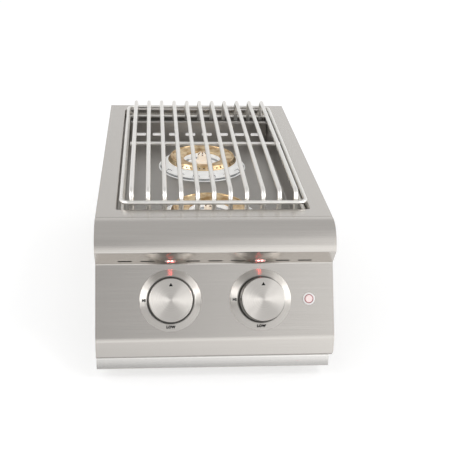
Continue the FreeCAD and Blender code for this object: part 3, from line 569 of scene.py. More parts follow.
def grained(mat, grain, light, dark, roughness, relief, relief_mm):
    """Let one grain drive the colour between two tones, the roughness between two values and the relief."""
    share = add(mat, "ShaderNodeMapRange", MIDDLE, {"Value": grain}).outputs[0]
    tones = add(mat, "ShaderNodeMix", {**COLOURS, 6: dark, 7: light}, {0: share}).outputs[2]
    drive(mat, "Base Color", tones)
    smoothest, roughest = roughness
    values = {**MIDDLE, "To Min": smoothest, "To Max": roughest}
    drive(mat, "Roughness", add(mat, "ShaderNodeMapRange", values, {"Value": grain}).outputs[0])
    values = {"Strength": relief, "Distance": relief_mm / 1000}
    drive(mat, "Normal", add(mat, "ShaderNodeBump", values, {"Height": grain}).outputs[0])


def clouded(mat, light, loss, size, detail, most):
    """Make the colour a little duller in soft clouds."""
    dull = [value * (1 - loss) for value in light[:3]] + [1.0]
    clouds = pattern(mat, size, detail)
    share = add(mat, "ShaderNodeMapRange", {**MIDDLE, "To Max": most}, {"Value": clouds}).outputs[0]
    links = {0: share, 6: colour_now(mat)}
    drive(mat, "Base Color", add(mat, "ShaderNodeMix", {**COLOURS, 7: dull}, links).outputs[2])


def brushed_steel(name, light, dark, grain):
    """Stainless sheet brushed along one axis: long faint lines that blur what it mirrors across them.
    The real lines are about 0.05 mm wide, and are drawn as 0.6 mm so that they show."""
    mat = finish_named(name, Metallic=1.0, Anisotropic=0.5)
    grained(mat, pattern(mat, grain, 3), light, dark, (0.22, 0.27), relief=0.04, relief_mm=0.01)
    clouded(mat, light, loss=0.04, size=per_mm(160, 60, 60), detail=1, most=0.4)
    tangent = add(mat, "ShaderNodeTangent", {"direction_type": "RADIAL", "axis": "X"})
    drive(mat, "Tangent", tangent.outputs[0])
    return mat


def spun_metal(name, light, dark, roughness=0.45, anisotropy=0.95):
    """Metal faced on a lathe: fine rings that draw each light out into a wedge.
    The real rings are about 0.1 mm apart, and are drawn as 0.3 mm so that they show."""
    mat = finish_named(name, Metallic=1.0, Anisotropic=anisotropy)
    ring_spacing, ring_wobble = 0.3, 1.2
    rings = pattern(mat, (round(MAP_UNIT / ring_spacing, -1), ring_wobble, 1), 2, coordinate="UV")
    around = (roughness - 0.02, roughness + 0.03)
    grained(mat, rings, light, dark, around, relief=0.03, relief_mm=0.01)
    tangent = add(mat, "ShaderNodeTangent", {"direction_type": "UV_MAP", "uv_map": "turned"})
    drive(mat, "Tangent", tangent.outputs[0])
    return mat


def plain_metal(name, light, dark, grit, roughness, depth=0.02, strength=0.15, uneven=0.07, metallic=1.0):
    """Metal with an even grain, whose grit is given in mm, such as a cast, drawn or rolled surface."""
    mat = finish_named(name, Metallic=metallic)
    around = (roughness - uneven, roughness + uneven)
    grained(mat, pattern(mat, per_mm(grit, grit, grit), 4), light, dark, around, strength, depth)
    clouded(mat, light, loss=2 * uneven, size=per_mm(25, 25, 25), detail=2, most=0.5)
    return mat


def plastic(name, light, dark, roughness, **values):
    """Moulded plastic or fired ceramic: even colour with the faint mottle of its mould."""
    mat = finish_named(name, **values)
    around = (roughness - 0.04, roughness + 0.06)
    grained(mat, pattern(mat, per_mm(1.2, 1.2, 1.2), 3), light, dark, around, relief=0.08, relief_mm=0.02)
    return mat


def glowing(mat, tint, strength):
    """The same material with light of its own, in the surface's own colour where no tint is given. On a part
    that is no lamp, this glow is painted light.
    """
    if tint:
        shader_of(mat).inputs["Emission Color"].default_value = tint
    else:
        drive(mat, "Emission Color", colour_now(mat))
    shader_of(mat).inputs["Emission Strength"].default_value = strength
    return mat


def heated(mat, tint):
    """The same metal with the brown bloom that a flame leaves on it, in soft patches about 12 mm across."""
    bloom = pattern(mat, per_mm(12, 12, 12), 2)
    share = add(mat, "ShaderNodeMapRange", {"From Min": 0.38, "From Max": 0.68}, {"Value": bloom}).outputs[0]
    links = {0: share, 6: colour_now(mat)}
    drive(mat, "Base Color", add(mat, "ShaderNodeMix", {**COLOURS, 7: tint}, links).outputs[2])
    return mat


def painted_recess_shade(mat, dark, reach):
    """The same material with painted shade: darkened in recesses about this many metres wide, where shade
    falls.
    """
    sky = add(mat, "ShaderNodeAmbientOcclusion", {"Distance": reach, "only_local": True}).outputs["AO"]
    share = add(mat, "ShaderNodeMapRange", {"From Min": 0.45, "From Max": 0.8}, {"Value": sky}).outputs[0]
    links = {0: share, 7: colour_now(mat)}
    drive(mat, "Base Color", add(mat, "ShaderNodeMix", {**COLOURS, 6: dark}, links).outputs[2])
    return mat


MATERIALS = {}


def make_materials(tones):
    """One material for each finish of the object."""
    steel, grain, brass, cast, skirt_dark_reflection, led = (
        tuple(getattr(tones, name)) for name in ("steel", "steel_dark", "brass", "aluminium", "skirt_dark_reflection", "led")
    )
    along_x, along_y = per_mm(160, 0.6, 0.6), per_mm(0.6, 160, 0.6)

    # Brushed sheet mirrors its surroundings as soft bands across the brushing. The trim's copy is a shade
    # brighter: painted reflection of the bright floor in front of it.
    MATERIALS["brushed"] = brushed_steel("stainless steel brushed along its width", steel, grain, along_x)
    MATERIALS["brushed_trim_painted_reflection"] = brushed_steel(
        "bright stainless steel brushed along its width", srgb("ECEAE7"), srgb("E5E2DF"), along_x
    )
    MATERIALS["brushed_deep"] = brushed_steel(
        "stainless steel brushed along its depth", steel, grain, along_y
    )

    # Mill finish is grey and even, drawn rod is bright and satin, and neither shows a grain.
    MATERIALS["mill"] = plain_metal(
        "stainless steel, mill finish",
        srgb("A9A6A2"), srgb("A4A19D"), grit=12, roughness=0.34, strength=0, uneven=0.015,
    )
    MATERIALS["drawn"] = plain_metal(
        "drawn stainless rod, polished",
        srgb("F2F0EC"), srgb("ECEAE6"), grit=6, roughness=0.38, strength=0, uneven=0.01,
    )

    # Spun faces show bright and dark wedges round their centre.
    MATERIALS["spun"] = spun_metal("stainless steel, spun", srgb("DCD8D3"), srgb("CAC6C1"))

    # Chrome mirrors like glass over a grey base, which is dark as painted reflection of the dark surroundings
    # that the skirt mirrors.
    MATERIALS["skirt_dark_reflection"] = plain_metal("chromed zinc, darkened as painted reflection", skirt_dark_reflection, skirt_dark_reflection, grit=3, roughness=0.2, strength=0.03)

    # Brass is pale gold. On the burners the flame has tinted it in patches, and painted shade darkens its
    # ports and groove.
    MATERIALS["brass"] = plain_metal(
        "brass, drawn", brass, srgb("DDBD8A"), grit=5, roughness=0.24, strength=0.03
    )
    faced = spun_metal("brass, faced on a lathe, with painted shade in its recesses", brass, srgb("E3C698"), roughness=0.31, anisotropy=0.5)
    # Painted shade: the ports and groove are darkened towards a dark brown.
    MATERIALS["brass_turned"] = painted_recess_shade(heated(faced, srgb("C09A6A")), srgb("3A2412"), reach=0.002)

    # Casting, tongues and caps are matt and scatter more light than a bare metal shader does: their metallic
    # value is low.
    # The light that they would pass on to each other is painted light, a glow of their own.
    casting = plain_metal(
        "die-cast aluminium, painted shade and glow",
        cast, srgb("EDEDEC"), grit=1.6, roughness=0.42, depth=0.04, uneven=0.02, metallic=0.2,
    )
    # Painted shade darkens the casting's notches and openings towards blue-grey, and painted light makes it
    # glow.
    MATERIALS["cast"] = glowing(painted_recess_shade(casting, srgb("4A4F56"), reach=0.006), None, 0.22)
    satin = {"grit": 1.6, "depth": 0.03, "strength": 0.1, "uneven": 0.03}
    sheared = plain_metal(
        "polished sheet tongue, painted glow", srgb("F0EFEE"), srgb("E2E1DF"), roughness=0.42, metallic=0.3, **satin
    )
    # Painted light: the tongues glow, so the slots read bright.
    MATERIALS["tongue"] = glowing(sheared, None, 0.4)
    sintered = plain_metal(
        "sintered steel cap, painted shade and glow", srgb("FFF3E4"), srgb("F3E2CC"), roughness=0.35, metallic=0.1, **satin
    )
    # Painted shade darkens the star in the cap towards brown, and painted light makes the cap glow.
    MATERIALS["post"] = glowing(painted_recess_shade(sintered, srgb("3A2210"), reach=0.004), None, 0.25)

    # Turned and plated steel is greyer than the sheet, with a fine grain.
    MATERIALS["turned"] = plain_metal("turned steel", srgb("BAB6B0"), srgb("A6A29C"), grit=1.2, roughness=0.3)
    MATERIALS["screw"] = plain_metal(
        "zinc-plated screw steel", srgb("C9C9C7"), srgb("B4B4B2"), grit=0.8, roughness=0.28
    )

    # Lacquer, ceramic, plastic and ink: even colour under a gloss that goes from wet to flat.
    for key, name, light, dark, roughness in (
        ("pipe", "black lacquered steel pipe", "2B2B2D", "1E1E20", 0.45),
        ("ceramic", "white spark-plug ceramic", "EDE9E0", "DDD8CC", 0.3),
        ("black", "black moulded plastic", "1C1C1D", "121213", 0.5),
        ("white", "white glossy plastic", "FCFAF9", "F4F1F0", 0.25),
        ("pink", "milky plastic, lit from behind", "FCEFEE", "F8E4E2", 0.3),
        ("led", "lamp chip, lit", "F4E0DC", "EAD2CE", 0.4),
        ("window", "smoked lamp window", "4A3C36", "3E322E", 0.12),
        ("red_ring", "red light ring, lit", "AC666C", "A25C62", 0.3),
    ):
        MATERIALS[key] = plastic(name, srgb(light), srgb(dark), roughness)
    ink = plastic("black printed ink", srgb("101010"), srgb("080808"), 0.6, Specular_IOR_Level=0.1)
    MATERIALS["print"] = ink

    # The chips are lamps that light the panel. The button only shines.
    glowing(MATERIALS["led"], led, 60)
    glowing(MATERIALS["red_ring"], srgb("C08084"), 0.05)
    glowing(MATERIALS["pink"], srgb("FFC8C4"), 0.12)


# Operators

class BURNER_OT_finishes(bpy.types.Operator):
    """Make the finishes and paint the pieces that are shown as constructed"""

    bl_idname = "burner.finishes"
    bl_label = "Finishes"

    def execute(self, context):
        make_materials(context.scene.burner_look.finishes)
        groups = {
            "mill": "side_wall_left side_wall_right rear_wall front_bulkhead floor_pan tray_hangers "
            "manifold_brackets",
            "pipe": "manifold pipe_coupling supply_pipe",
            "cast": "valve_body_left valve_body_right gas_tube_front gas_tube_rear",
            "brass": "valve_plug_left valve_plug_right jet_holder_front jet_holder_rear",
            "turned": "valve_stem_left valve_stem_right",
            "black": "ignition_module lamp_driver lamp_housings button_nut",
            "print": "knob_pointer_left knob_pointer_right",
            "screw": "bezel_screws seam_screws trim_screws tray_screws",
        }
        for finish_name, nodes in groups.items():
            for node in nodes.split():
                paint(frame["nodes"][node], finish_name)
        return {"FINISHED"}


class BURNER_OT_flange(bpy.types.Operator):
    """Fold the top flange with its rim and apron"""

    bl_idname = "burner.flange"
    bl_label = "Top flange"

    def execute(self, context):
        s = in_mm(context.scene.burner_look.sheets)
        low, high = box_mm("top_flange")
        half_x, half_y, top = high.x, high.y, high.z
        open_x, open_y = s.opening_width / 2, s.opening_depth / 2
        rim_bend, apron_bend = 1.5, 1.0
        obj = begin(bpy.ops.mesh.primitive_plane_add, size=2)
        bpy.ops.transform.resize(value=(open_x, open_y, 1))
        bpy.ops.transform.translate(value=(0, 0, top))
        bpy.ops.mesh.bevel(offset=s.opening_corner, segments=6, affect="VERTICES")
        bpy.ops.mesh.select_all(action="SELECT")
        bpy.ops.mesh.delete(type="ONLY_FACE")
        pick("EDGE", lambda co: True)
        extrude((0, 0, low.z - top))
        pick("EDGE", lambda co: co.z > top - NEAR)
        extrude((0, 0, 0))
        bpy.ops.transform.resize(value=(half_x / open_x, half_y / open_y, 1))
        # The resized corners are arcs, which are drawn together into the flange's square ones.
        for x in (-half_x, half_x):
            for y in (-half_y, half_y):
                pick("VERT", lambda co: (co - Vector((x, y, top))).length < 2.2 * s.opening_corner)
                bpy.ops.mesh.merge(type="CENTER")
                corner = next(v.co.copy() for v in bmesh.from_edit_mesh(obj.data).verts if v.select)
                bpy.ops.transform.translate(value=Vector((x, y, top)) - corner)
        pick("EDGE", lambda co: abs(co.x) < open_x + NEAR and abs(co.y) < open_y + NEAR and co.z > top - NEAR)
        bpy.ops.mesh.bevel(offset=rim_bend, segments=4, affect="EDGES")
        pick("EDGE", lambda co: co.y < -half_y + NEAR)
        extrude((0, 0, -s.apron - top))
        pick("EDGE", lambda co: co.y < -half_y + NEAR and co.z > top - NEAR)
        bpy.ops.mesh.bevel(offset=apron_bend, segments=3, affect="EDGES")
        close_up()
        facing(obj, Vector((0, 0, 1)))
        thicken(obj, s.flange_sheet)
        soften(obj, SHEET_EDGE, 2, 60)
        finish(obj, "top_flange_folded", "housing", ["top_flange"], "brushed_deep")
        return {"FINISHED"}


def slot_cutter(length_mm, width, corner):
    """A round-cornered bar that cuts a slot, along Z."""
    obj = begin(bpy.ops.mesh.primitive_cube_add, size=1)
    bpy.ops.transform.resize(value=(length_mm, width, CUTTER_HEIGHT))
    bpy.ops.mesh.select_mode(type="EDGE")
    mesh = bmesh.from_edit_mesh(obj.data)
    for edge in mesh.edges:
        edge.select_set(abs(edge.verts[0].co.z - edge.verts[1].co.z) > 1)
    mesh.select_flush_mode()
    bmesh.update_edit_mesh(obj.data)
    bpy.ops.mesh.bevel(offset=corner, segments=5, affect="EDGES")
    return close_up()


def around_z(count, start=0.0):
    """Turns about Z, evenly spaced from a start in degrees."""
    return [Matrix.Rotation(math.radians(start + 360 / count * k), 4, "Z") for k in range(count)]


def round_cutter(radius, depth, segments=32):
    begin(bpy.ops.mesh.primitive_cylinder_add, vertices=segments, radius=radius, depth=depth)
    return close_up()


def nose_outline(s):
    """The points of the panel's rounded nose, and the fold under it, as (y, z)."""
    front = box_mm("top_flange")[0].y
    top = box_mm("front_panel")[1].z
    centre = (front - s.nose_flat, top - s.nose_radius)
    turn = math.degrees(math.asin((s.nose_radius - s.nose_drop) / s.nose_radius))
    nose = arc(centre, s.nose_radius, 90, 180 - turn, 28)
    return nose, (front - s.throat_reach, top - s.throat_drop)


def under_nose(s):
    """The place of something modelled on the XY plane and set in the row of vents under the nose."""
    nose, throat = nose_outline(s)
    run = Vector((nose[-1][0] - throat[0], nose[-1][1] - throat[1]))
    spot = Vector(throat) + run.normalized() * s.vent_offset
    return Matrix.Translation((0, spot.x, spot.y)) @ Matrix.Rotation(math.atan2(run.y, run.x), 4, "X")


class BURNER_OT_panel(bpy.types.Operator):
    """Bend the front panel and cut its vents, windows and holes"""

    bl_idname = "burner.panel"
    bl_label = "Front panel"

    def execute(self, context):
        s = in_mm(context.scene.burner_look.sheets)
        low, high = box_mm("front_panel")
        front = box_mm("top_flange")[0].y
        top = high.z
        back = front - s.seam
        seam_bend, nose_bend = 1.0, 4.0
        nose, throat = nose_outline(s)
        foot = (front - s.foot_reach, top - s.foot_drop)
        lip = (foot[0] - s.lip_step, foot[1] - s.lip_height)
        corners = [(back, -s.apron, 0), (back, top, seam_bend)]
        corners += [(y, z, 0) for y, z in nose[:-1]]
        corners += [
            (*nose[-1], nose_bend),
            (*throat, s.throat_bend),
            (*foot, s.foot_bend),
            (*lip, s.lip_bend),
            (lip[0] + s.hem, lip[1], 0),
        ]
        path = rounded(corners)
        obj = bent_sheet(path, low.x, high.x, s.sheet, Vector((0, -1, 0)))
        outline = path[1:-1]
        outline[-1] = (back, lip[1])
        for x0, x1 in ((low.x, low.x + s.sheet), (high.x - s.sheet, high.x)):
            modify_with(obj, plate(outline, x0, x1), "UNION")
        cut(obj, self.cutters(s) + [self.lip_rounding(s, high.x, lip)])
        soften(obj, 0.35, 2, 50)
        finish(obj, "front_panel_bent", "housing", ["front_panel"], "brushed")
        return {"FINISHED"}

    def lip_rounding(self, s, edge, lip):
        """A bar along Y with a hollow corner, which rounds the lip's lower right corner."""
        r = s.lip_corner
        hollow = arc((edge - r, lip[1] + r), r, 0, -90, 8)
        outline = hollow + [(edge - r, lip[1] - r), (edge + r, lip[1] - r), (edge + r, lip[1] + r)]
        bar = plate(outline, lip[0] - r, 0)
        swap_x_and_y = Matrix(((0, 1, 0, 0), (1, 0, 0, 0), (0, 0, 1, 0), (0, 0, 0, 1)))
        place(bar, swap_x_and_y)
        bar.data.flip_normals()
        return bar

    def cutters(self, s):
        """Cutters for nine slots under the nose, two of them for lamps, and for the stems and the button."""
        outermost, lamp_place = 4, 2
        stem_hole, button_hole = 8, 7.1
        lamp = (s.lamp_length, s.lamp_width, 0.8)
        vent = (s.vent_length, s.vent_width, s.vent_width * 0.48)
        under = under_nose(s)
        made = []
        for k in range(-outermost, outermost + 1):
            bar = slot_cutter(*(lamp if abs(k) == lamp_place else vent))
            made.append(place(bar, Matrix.Translation((k * s.vent_pitch, 0, 0)) @ under))
        for x in (-KNOB_X, KNOB_X):
            made.append(place(round_cutter(stem_hole, CUTTER_HEIGHT), on_panel(x)))
        made.append(place(round_cutter(button_hole, CUTTER_HEIGHT), on_panel(middle_mm("button_cap").x)))
        return made


def channel(top_back, foot_back, low, high, bend):
    """A channel's section in (y, z), open to the back: a fold at its top, its face and a fold at its foot."""
    face = [(low.y, high.z, bend), (low.y, low.z, bend)]
    return rounded([(top_back, high.z, 0), *face, (foot_back, low.z, 0)])


class BURNER_OT_trim(bpy.types.Operator):
    """Fold the lower trim"""

    bl_idname = "burner.trim"
    bl_label = "Lower trim"

    def execute(self, context):
        s = in_mm(context.scene.burner_look.sheets)
        low, high = box_mm("lower_trim")
        fold = low.y + s.hem - s.trim_inset
        path = channel(fold, high.y, low, high, s.bend)
        obj = bent_sheet(path, low.x, high.x, s.sheet, Vector((0, -1, 0)))
        soften(obj, SHEET_EDGE, 2, 60)
        finish(obj, "lower_trim_folded", "housing", ["lower_trim"], "brushed_trim_painted_reflection")
        return {"FINISHED"}


class BURNER_OT_tray(bpy.types.Operator):
    """Fold the burner tray and its slotted baffle"""

    bl_idname = "burner.tray"
    bl_label = "Tray and baffle"

    def execute(self, context):
        s = in_mm(context.scene.burner_look.sheets)
        self.tray(s)
        self.baffle(s)
        return {"FINISHED"}

    def tray(self, s):
        high = box_mm("burner_tray")[1]
        floor = box_mm("rear_baffle")[0].z
        well_x, well_y = 130.0, high.y - 1.0
        floor_bend, cup_hole = 2.5, 38.5
        obj = begin(bpy.ops.mesh.primitive_plane_add, size=2)
        bpy.ops.transform.resize(value=(well_x, well_y, 1))
        bpy.ops.transform.translate(value=(0, 0, high.z))
        bpy.ops.mesh.bevel(offset=s.tray_corner, segments=6, affect="VERTICES")
        bpy.ops.mesh.select_mode(type="FACE")
        bpy.ops.mesh.select_all(action="SELECT")
        extrude((0, 0, floor - high.z))
        pick("FACE", lambda co, normal: co.z > high.z - NEAR)
        bpy.ops.mesh.delete(type="ONLY_FACE")
        pick("EDGE", lambda co: co.z < floor + NEAR)
        bpy.ops.mesh.bevel(offset=floor_bend, segments=4, affect="EDGES")
        pick("EDGE", lambda co: co.z > high.z - NEAR)
        extrude((0, 0, 0))
        bpy.ops.transform.resize(value=(high.x / well_x, high.y / well_y, 1))
        close_up()
        facing(obj, Vector((0, 0, 1)))
        thicken(obj, s.tray_sheet)
        holes = []
        for name in ("front", "rear"):
            spot = Matrix.Translation((0, middle_mm("burner_cup_" + name).y, floor))
            holes.append(place(round_cutter(cup_hole, 30, 64), spot))
        cut(obj, holes)
        finish(obj, "burner_tray_folded", "housing", ["burner_tray"], "mill")

    def baffle(self, s):
        low, high = box_mm("rear_baffle")
        bend = 1.6
        slot_count, slot_pitch, slot_level = 8, 31.0, 15.4
        slot_length, slot_width, slot_corner = 20, 5.6, 2.7
        path = channel(high.y, high.y, low, high, bend)
        obj = bent_sheet(path, low.x, high.x, s.tray_sheet, Vector((0, -1, 0)))
        upright = Matrix.Rotation(math.radians(90), 4, "X")
        short = Matrix.Scale(0.3, 4, (0, 0, 1))
        slots, tongues = [], []
        for k in range(slot_count):
            spot = Matrix.Translation(((k - (slot_count - 1) / 2) * slot_pitch, low.y, low.z + slot_level))
            slots.append(place(slot_cutter(slot_length, slot_width, slot_corner), spot @ upright @ short))
            tongues.append(self.tongue(spot))
        cut(obj, slots)
        finish(obj, "rear_baffle_slotted", "housing", ["rear_baffle"], "mill")
        finish(merge(tongues), "rear_baffle_louvres", "housing", ["rear_baffle"], "tongue")

    def tongue(self, spot):
        """The tongue left in a slot, leaning back from the slot's lower edge. Its section is in (y, z)."""
        half_length = 9.2
        section = rounded([(1.1, -3.2, 0), (1.1, -2.8, 1), (4.4, 2.9, 0), (5.2, 2.4, 0), (2.0, -3.2, 0)], 3)
        return place(plate(section, -half_length, half_length), spot)


class BURNER_OT_grid(bpy.types.Operator):
    """Bend the rods and rings of the cooking grid"""

    bl_idname = "burner.grid"
    bl_label = "Cooking grid"

    def execute(self, context):
        s = in_mm(context.scene.burner_look.grid)
        rod_count, end_rounding = 11, 0.5
        low, high = box_mm("grid_rods")
        middle = (low + high) / 2
        top = high.z - s.rod
        front, back = low.y + s.rod, high.y - s.rod
        corners = ((front, low.z), (front, top), (back, top), (back, low.z))
        staple = rod([Vector((middle.x, y, z)) for y, z in corners], s.bend, s.rod, 24, 10)
        soften(staple, end_rounding, 2, 60)
        offsets = [(k - rod_count // 2) * s.rod_pitch for k in range(rod_count)]
        rods = copies(staple, [Matrix.Translation((offset, 0, 0)) for offset in offsets])
        level = top - s.rod - s.ring
        cross = rod([Vector((low.x, middle.y, level)), Vector((high.x, middle.y, level))], 0, s.ring, 20)
        soften(cross, end_rounding, 2, 60)
        finish(merge([rods, cross]), "grid_rods_bent", "grid", ["grid_rods"], "drawn")
        self.rings(s)
        return {"FINISHED"}

    def rings(self, s):
        """The two rings: each a rod bent round from the middle of its front side and back to it."""
        low, high = box_mm("grid_rings")
        x0, x1 = low.x + s.ring, high.x - s.ring
        y0, y1 = low.y + s.ring, high.y - s.ring
        made = []
        for z in (low.z + s.ring, high.z - s.ring):
            points = [Vector(((x0 + x1) / 2, y0, z))]
            points += [Vector((x, y, z)) for x, y in ((x1, y0), (x1, y1), (x0, y1), (x0, y0))]
            points.append(points[0])
            ring = rod(points, s.corner, s.ring, 20, 10)
            # The two end discs meet where the rod closes on itself.
            bpy.ops.object.mode_set(mode="EDIT")
            pick("FACE", lambda co, normal: abs(co.x - points[0].x) < NEAR and abs(normal.x) > 0.9)
            bpy.ops.mesh.delete(type="ONLY_FACE")
            close_up(2 * NEAR)
            made.append(ring)
        finish(merge(made), "grid_rings_bent", "grid", ["grid_rings"], "drawn")


class BURNER_OT_burners(bpy.types.Operator):
    """Turn the burners' cups, brass rings, posts and electrodes"""

    bl_idname = "burner.burners"
    bl_label = "Burners"

    def execute(self, context):
        s = in_mm(context.scene.burner_look.burners)
        floor = box_mm("rear_baffle")[0].z
        for name in ("front", "rear"):
            cup, ring, post = (f"burner_{kind}_{name}" for kind in ("cup", "ring", "post"))
            seat = Matrix.Translation((0, middle_mm(ring).y, floor))
            finish(self.cup(s), "burner_cup_cast_" + name, "housing", [cup], "cast", seat)
            made = turned_map(self.ring(s))
            finish(made, "burner_ring_turned_" + name, ring, [ring], "brass_turned", seat)
            finish(self.post(s), "burner_post_turned_" + name, "housing", [post], "post", seat)
            self.electrode(name)
        return {"FINISHED"}

    def cup(self, s):
        """The cup: a lip, a sloping band with notches, a seat for the ring, a channel, a wall and a cone.
        Heights are over the tray's floor."""
        bore, tube, tube_foot = 6, 24, -26
        shell, shell_foot = 38, -16
        lip_top, step_low, step_high, band_foot = 1.5, 1.3, 3.6, 4.4
        step = s.cup_band - 1.6
        band_top, seat = 61, 56
        channel, channel_floor = 54, 3
        wall, wall_inside = 32.6, 31.6
        cone_foot, cone, cone_top = 3.6, 14, 9
        obj = lathe(rounded([
            (bore, tube_foot, 0), (tube, tube_foot, 1), (shell, shell_foot, 3), (shell, 0, 1),
            (s.cup, 0, 0.5), (s.cup, lip_top, 0.7), (step, step_low, 0.3), (step, step_high, 0.3),
            (s.cup_band, band_foot, 0.6), (band_top, s.cup_rise, 0.6), (seat, s.cup_rise, 0),
            (channel, channel_floor, 1), (wall, channel_floor, 0.5), (wall, s.cup_wall, 0.4),
            (wall_inside, s.cup_wall, 0.4), (wall_inside, cone_foot, 1), (cone, cone_top, 1),
            (bore, cone_top, 0),
        ], 3), 144)
        notches, notch_depth = 16, 1.6
        notch_length, notch_width, notch_corner = 7, 12, 1.2
        notch_middle = Matrix.Translation((s.cup_band - 2.5, 0, 6.7))
        openings, opening_start = 3, 5
        opening_length, opening_width, opening_corner = 13, 10, 3
        opening_middle = Matrix.Translation((23.5, 0, 8))
        lean = Matrix.Rotation(math.atan2(s.cup_rise - 5, s.cup_band - band_top), 4, "Y")
        raised = Matrix.Translation((0, 0, CUTTER_HEIGHT / 2 - notch_depth))
        cutters = []
        for turn in around_z(notches, 180 / notches):
            bar = slot_cutter(notch_length, notch_width, notch_corner)
            cutters.append(place(bar, turn @ notch_middle @ lean @ raised))
        for turn in around_z(openings, opening_start):
            bar = slot_cutter(opening_length, opening_width, opening_corner)
            cutters.append(place(bar, turn @ opening_middle))
        return soften(cut(obj, cutters), 0.3, 1, 50)

    def ring(self, s):
        """The brass head: a leaning port wall, a ridge, a groove inside it, and a top that dips inward."""
        top = s.ring_rise
        inner_top = top - s.ring_drop
        rim, ridge_width = s.cup_rise + 1, 0.8
        groove_outer, groove_inner, groove_floor = 53, 51.4, top - 1.8
        shoulder = 44.5
        foot, wall = 4, 3
        spigot, spigot_wall = 53.7, 1.5
        obj = lathe(rounded([
            (s.ring, s.cup_rise, 0.3), (s.ring, rim, 0.4), (s.ring_ridge + ridge_width, top - 0.4, 0.6),
            (s.ring_ridge, top, 0.6), (groove_outer + 0.6, top - 0.2, 0.5), (groove_outer, groove_floor, 0.4),
            (groove_inner, groove_floor, 0.4), (groove_inner - 0.6, top - 0.9, 0.5), (shoulder, top - 1.4, 1),
            (s.ring_inner, inner_top, 0.8), (s.ring_inner, foot, 0.5), (s.ring_inner + wall, foot, 0),
            (s.ring_inner + wall, inner_top - wall, 0), (spigot - spigot_wall, inner_top - wall, 0),
            (spigot - spigot_wall, foot, 0), (spigot, foot, 0), (spigot, s.cup_rise, 0),
        ], 3), 128)
        ports, port_depth = 48, 8
        lighter_port, lighter_depth = 0.6, 2
        sideways = Matrix.Rotation(math.radians(90), 4, "Y")
        in_wall = Matrix.Translation((s.ring - 2, 0, s.port_rise))
        in_groove = Matrix.Translation(((groove_outer + groove_inner) / 2, 0, groove_floor))
        cutters = []
        for k, turn in enumerate(around_z(ports)):
            side = in_wall @ sideways
            cutters.append(place(round_cutter(s.port, port_depth, 12), turn @ side))
            if k % 2 == 0:
                cutters.append(place(round_cutter(lighter_port, lighter_depth, 8), turn @ in_groove))
        return cut(obj, cutters)

    def post(self, s):
        """The centre post, with a star sunk into its domed top."""
        top = s.post_rise
        dome_foot = top - s.post_dome
        seat, flange, flange_top = 9, 12, 11.4
        neck, neck_top, shoulder = 9.6, 12, 13
        foot = rounded([
            (0, seat, 0), (flange, seat, 0), (flange, flange_top, 0.5), (neck, neck_top, 0.5),
            (s.post, shoulder, 0.5), (s.post, dome_foot, 0),
        ], 3)
        quarter = arc((0, 0), s.post, 15, 90, 8)
        dome = [(r, dome_foot + z * s.post_dome / s.post) for r, z in quarter]
        obj = lathe(foot + dome[:-1] + [(0, top)], 64)
        arm_length, arm_width, arm_corner, arm_depth = 22, 2.6, 1.2, 5.6
        raised = Matrix.Translation((0, 0, top + CUTTER_HEIGHT / 2 - arm_depth))
        arms = []
        for turn in around_z(6, 30)[:3]:
            arms.append(place(slot_cutter(arm_length, arm_width, arm_corner), turn @ raised))
        return cut(obj, arms)

    def electrode(self, name):
        """The electrode: a ceramic body with a groove round it, and a wire that stands out of its top."""
        low, high = box_mm("electrode_" + name)
        middle = (low + high) / 2
        spot = Matrix.Translation((middle.x, middle.y, low.z))
        height = high.z - low.z
        foot, radius, waist, tip, wire = 6, 2.9, 2.2, 2.4, 0.9
        groove_low, groove_high, top = height - 9, height - 7.5, height - 5
        body = lathe(rounded([
            (0, foot, 0), (radius, foot, 0.4), (radius, groove_low - 1, 0.4), (waist, groove_low, 0.2),
            (waist, groove_high, 0.2), (radius, groove_high + 0.9, 0.2), (tip, top, 0.4), (0, top, 0),
        ], 3), 32)
        needle = lathe([(0, 0), (wire, 0), (wire, height - 0.6), (0.5, height), (0, height)], 16)
        nodes = ["electrode_" + name]
        finish(body, "electrode_ceramic_" + name, "housing", nodes, "ceramic", spot)
        finish(needle, "electrode_wire_" + name, "housing", nodes, "turned", spot)


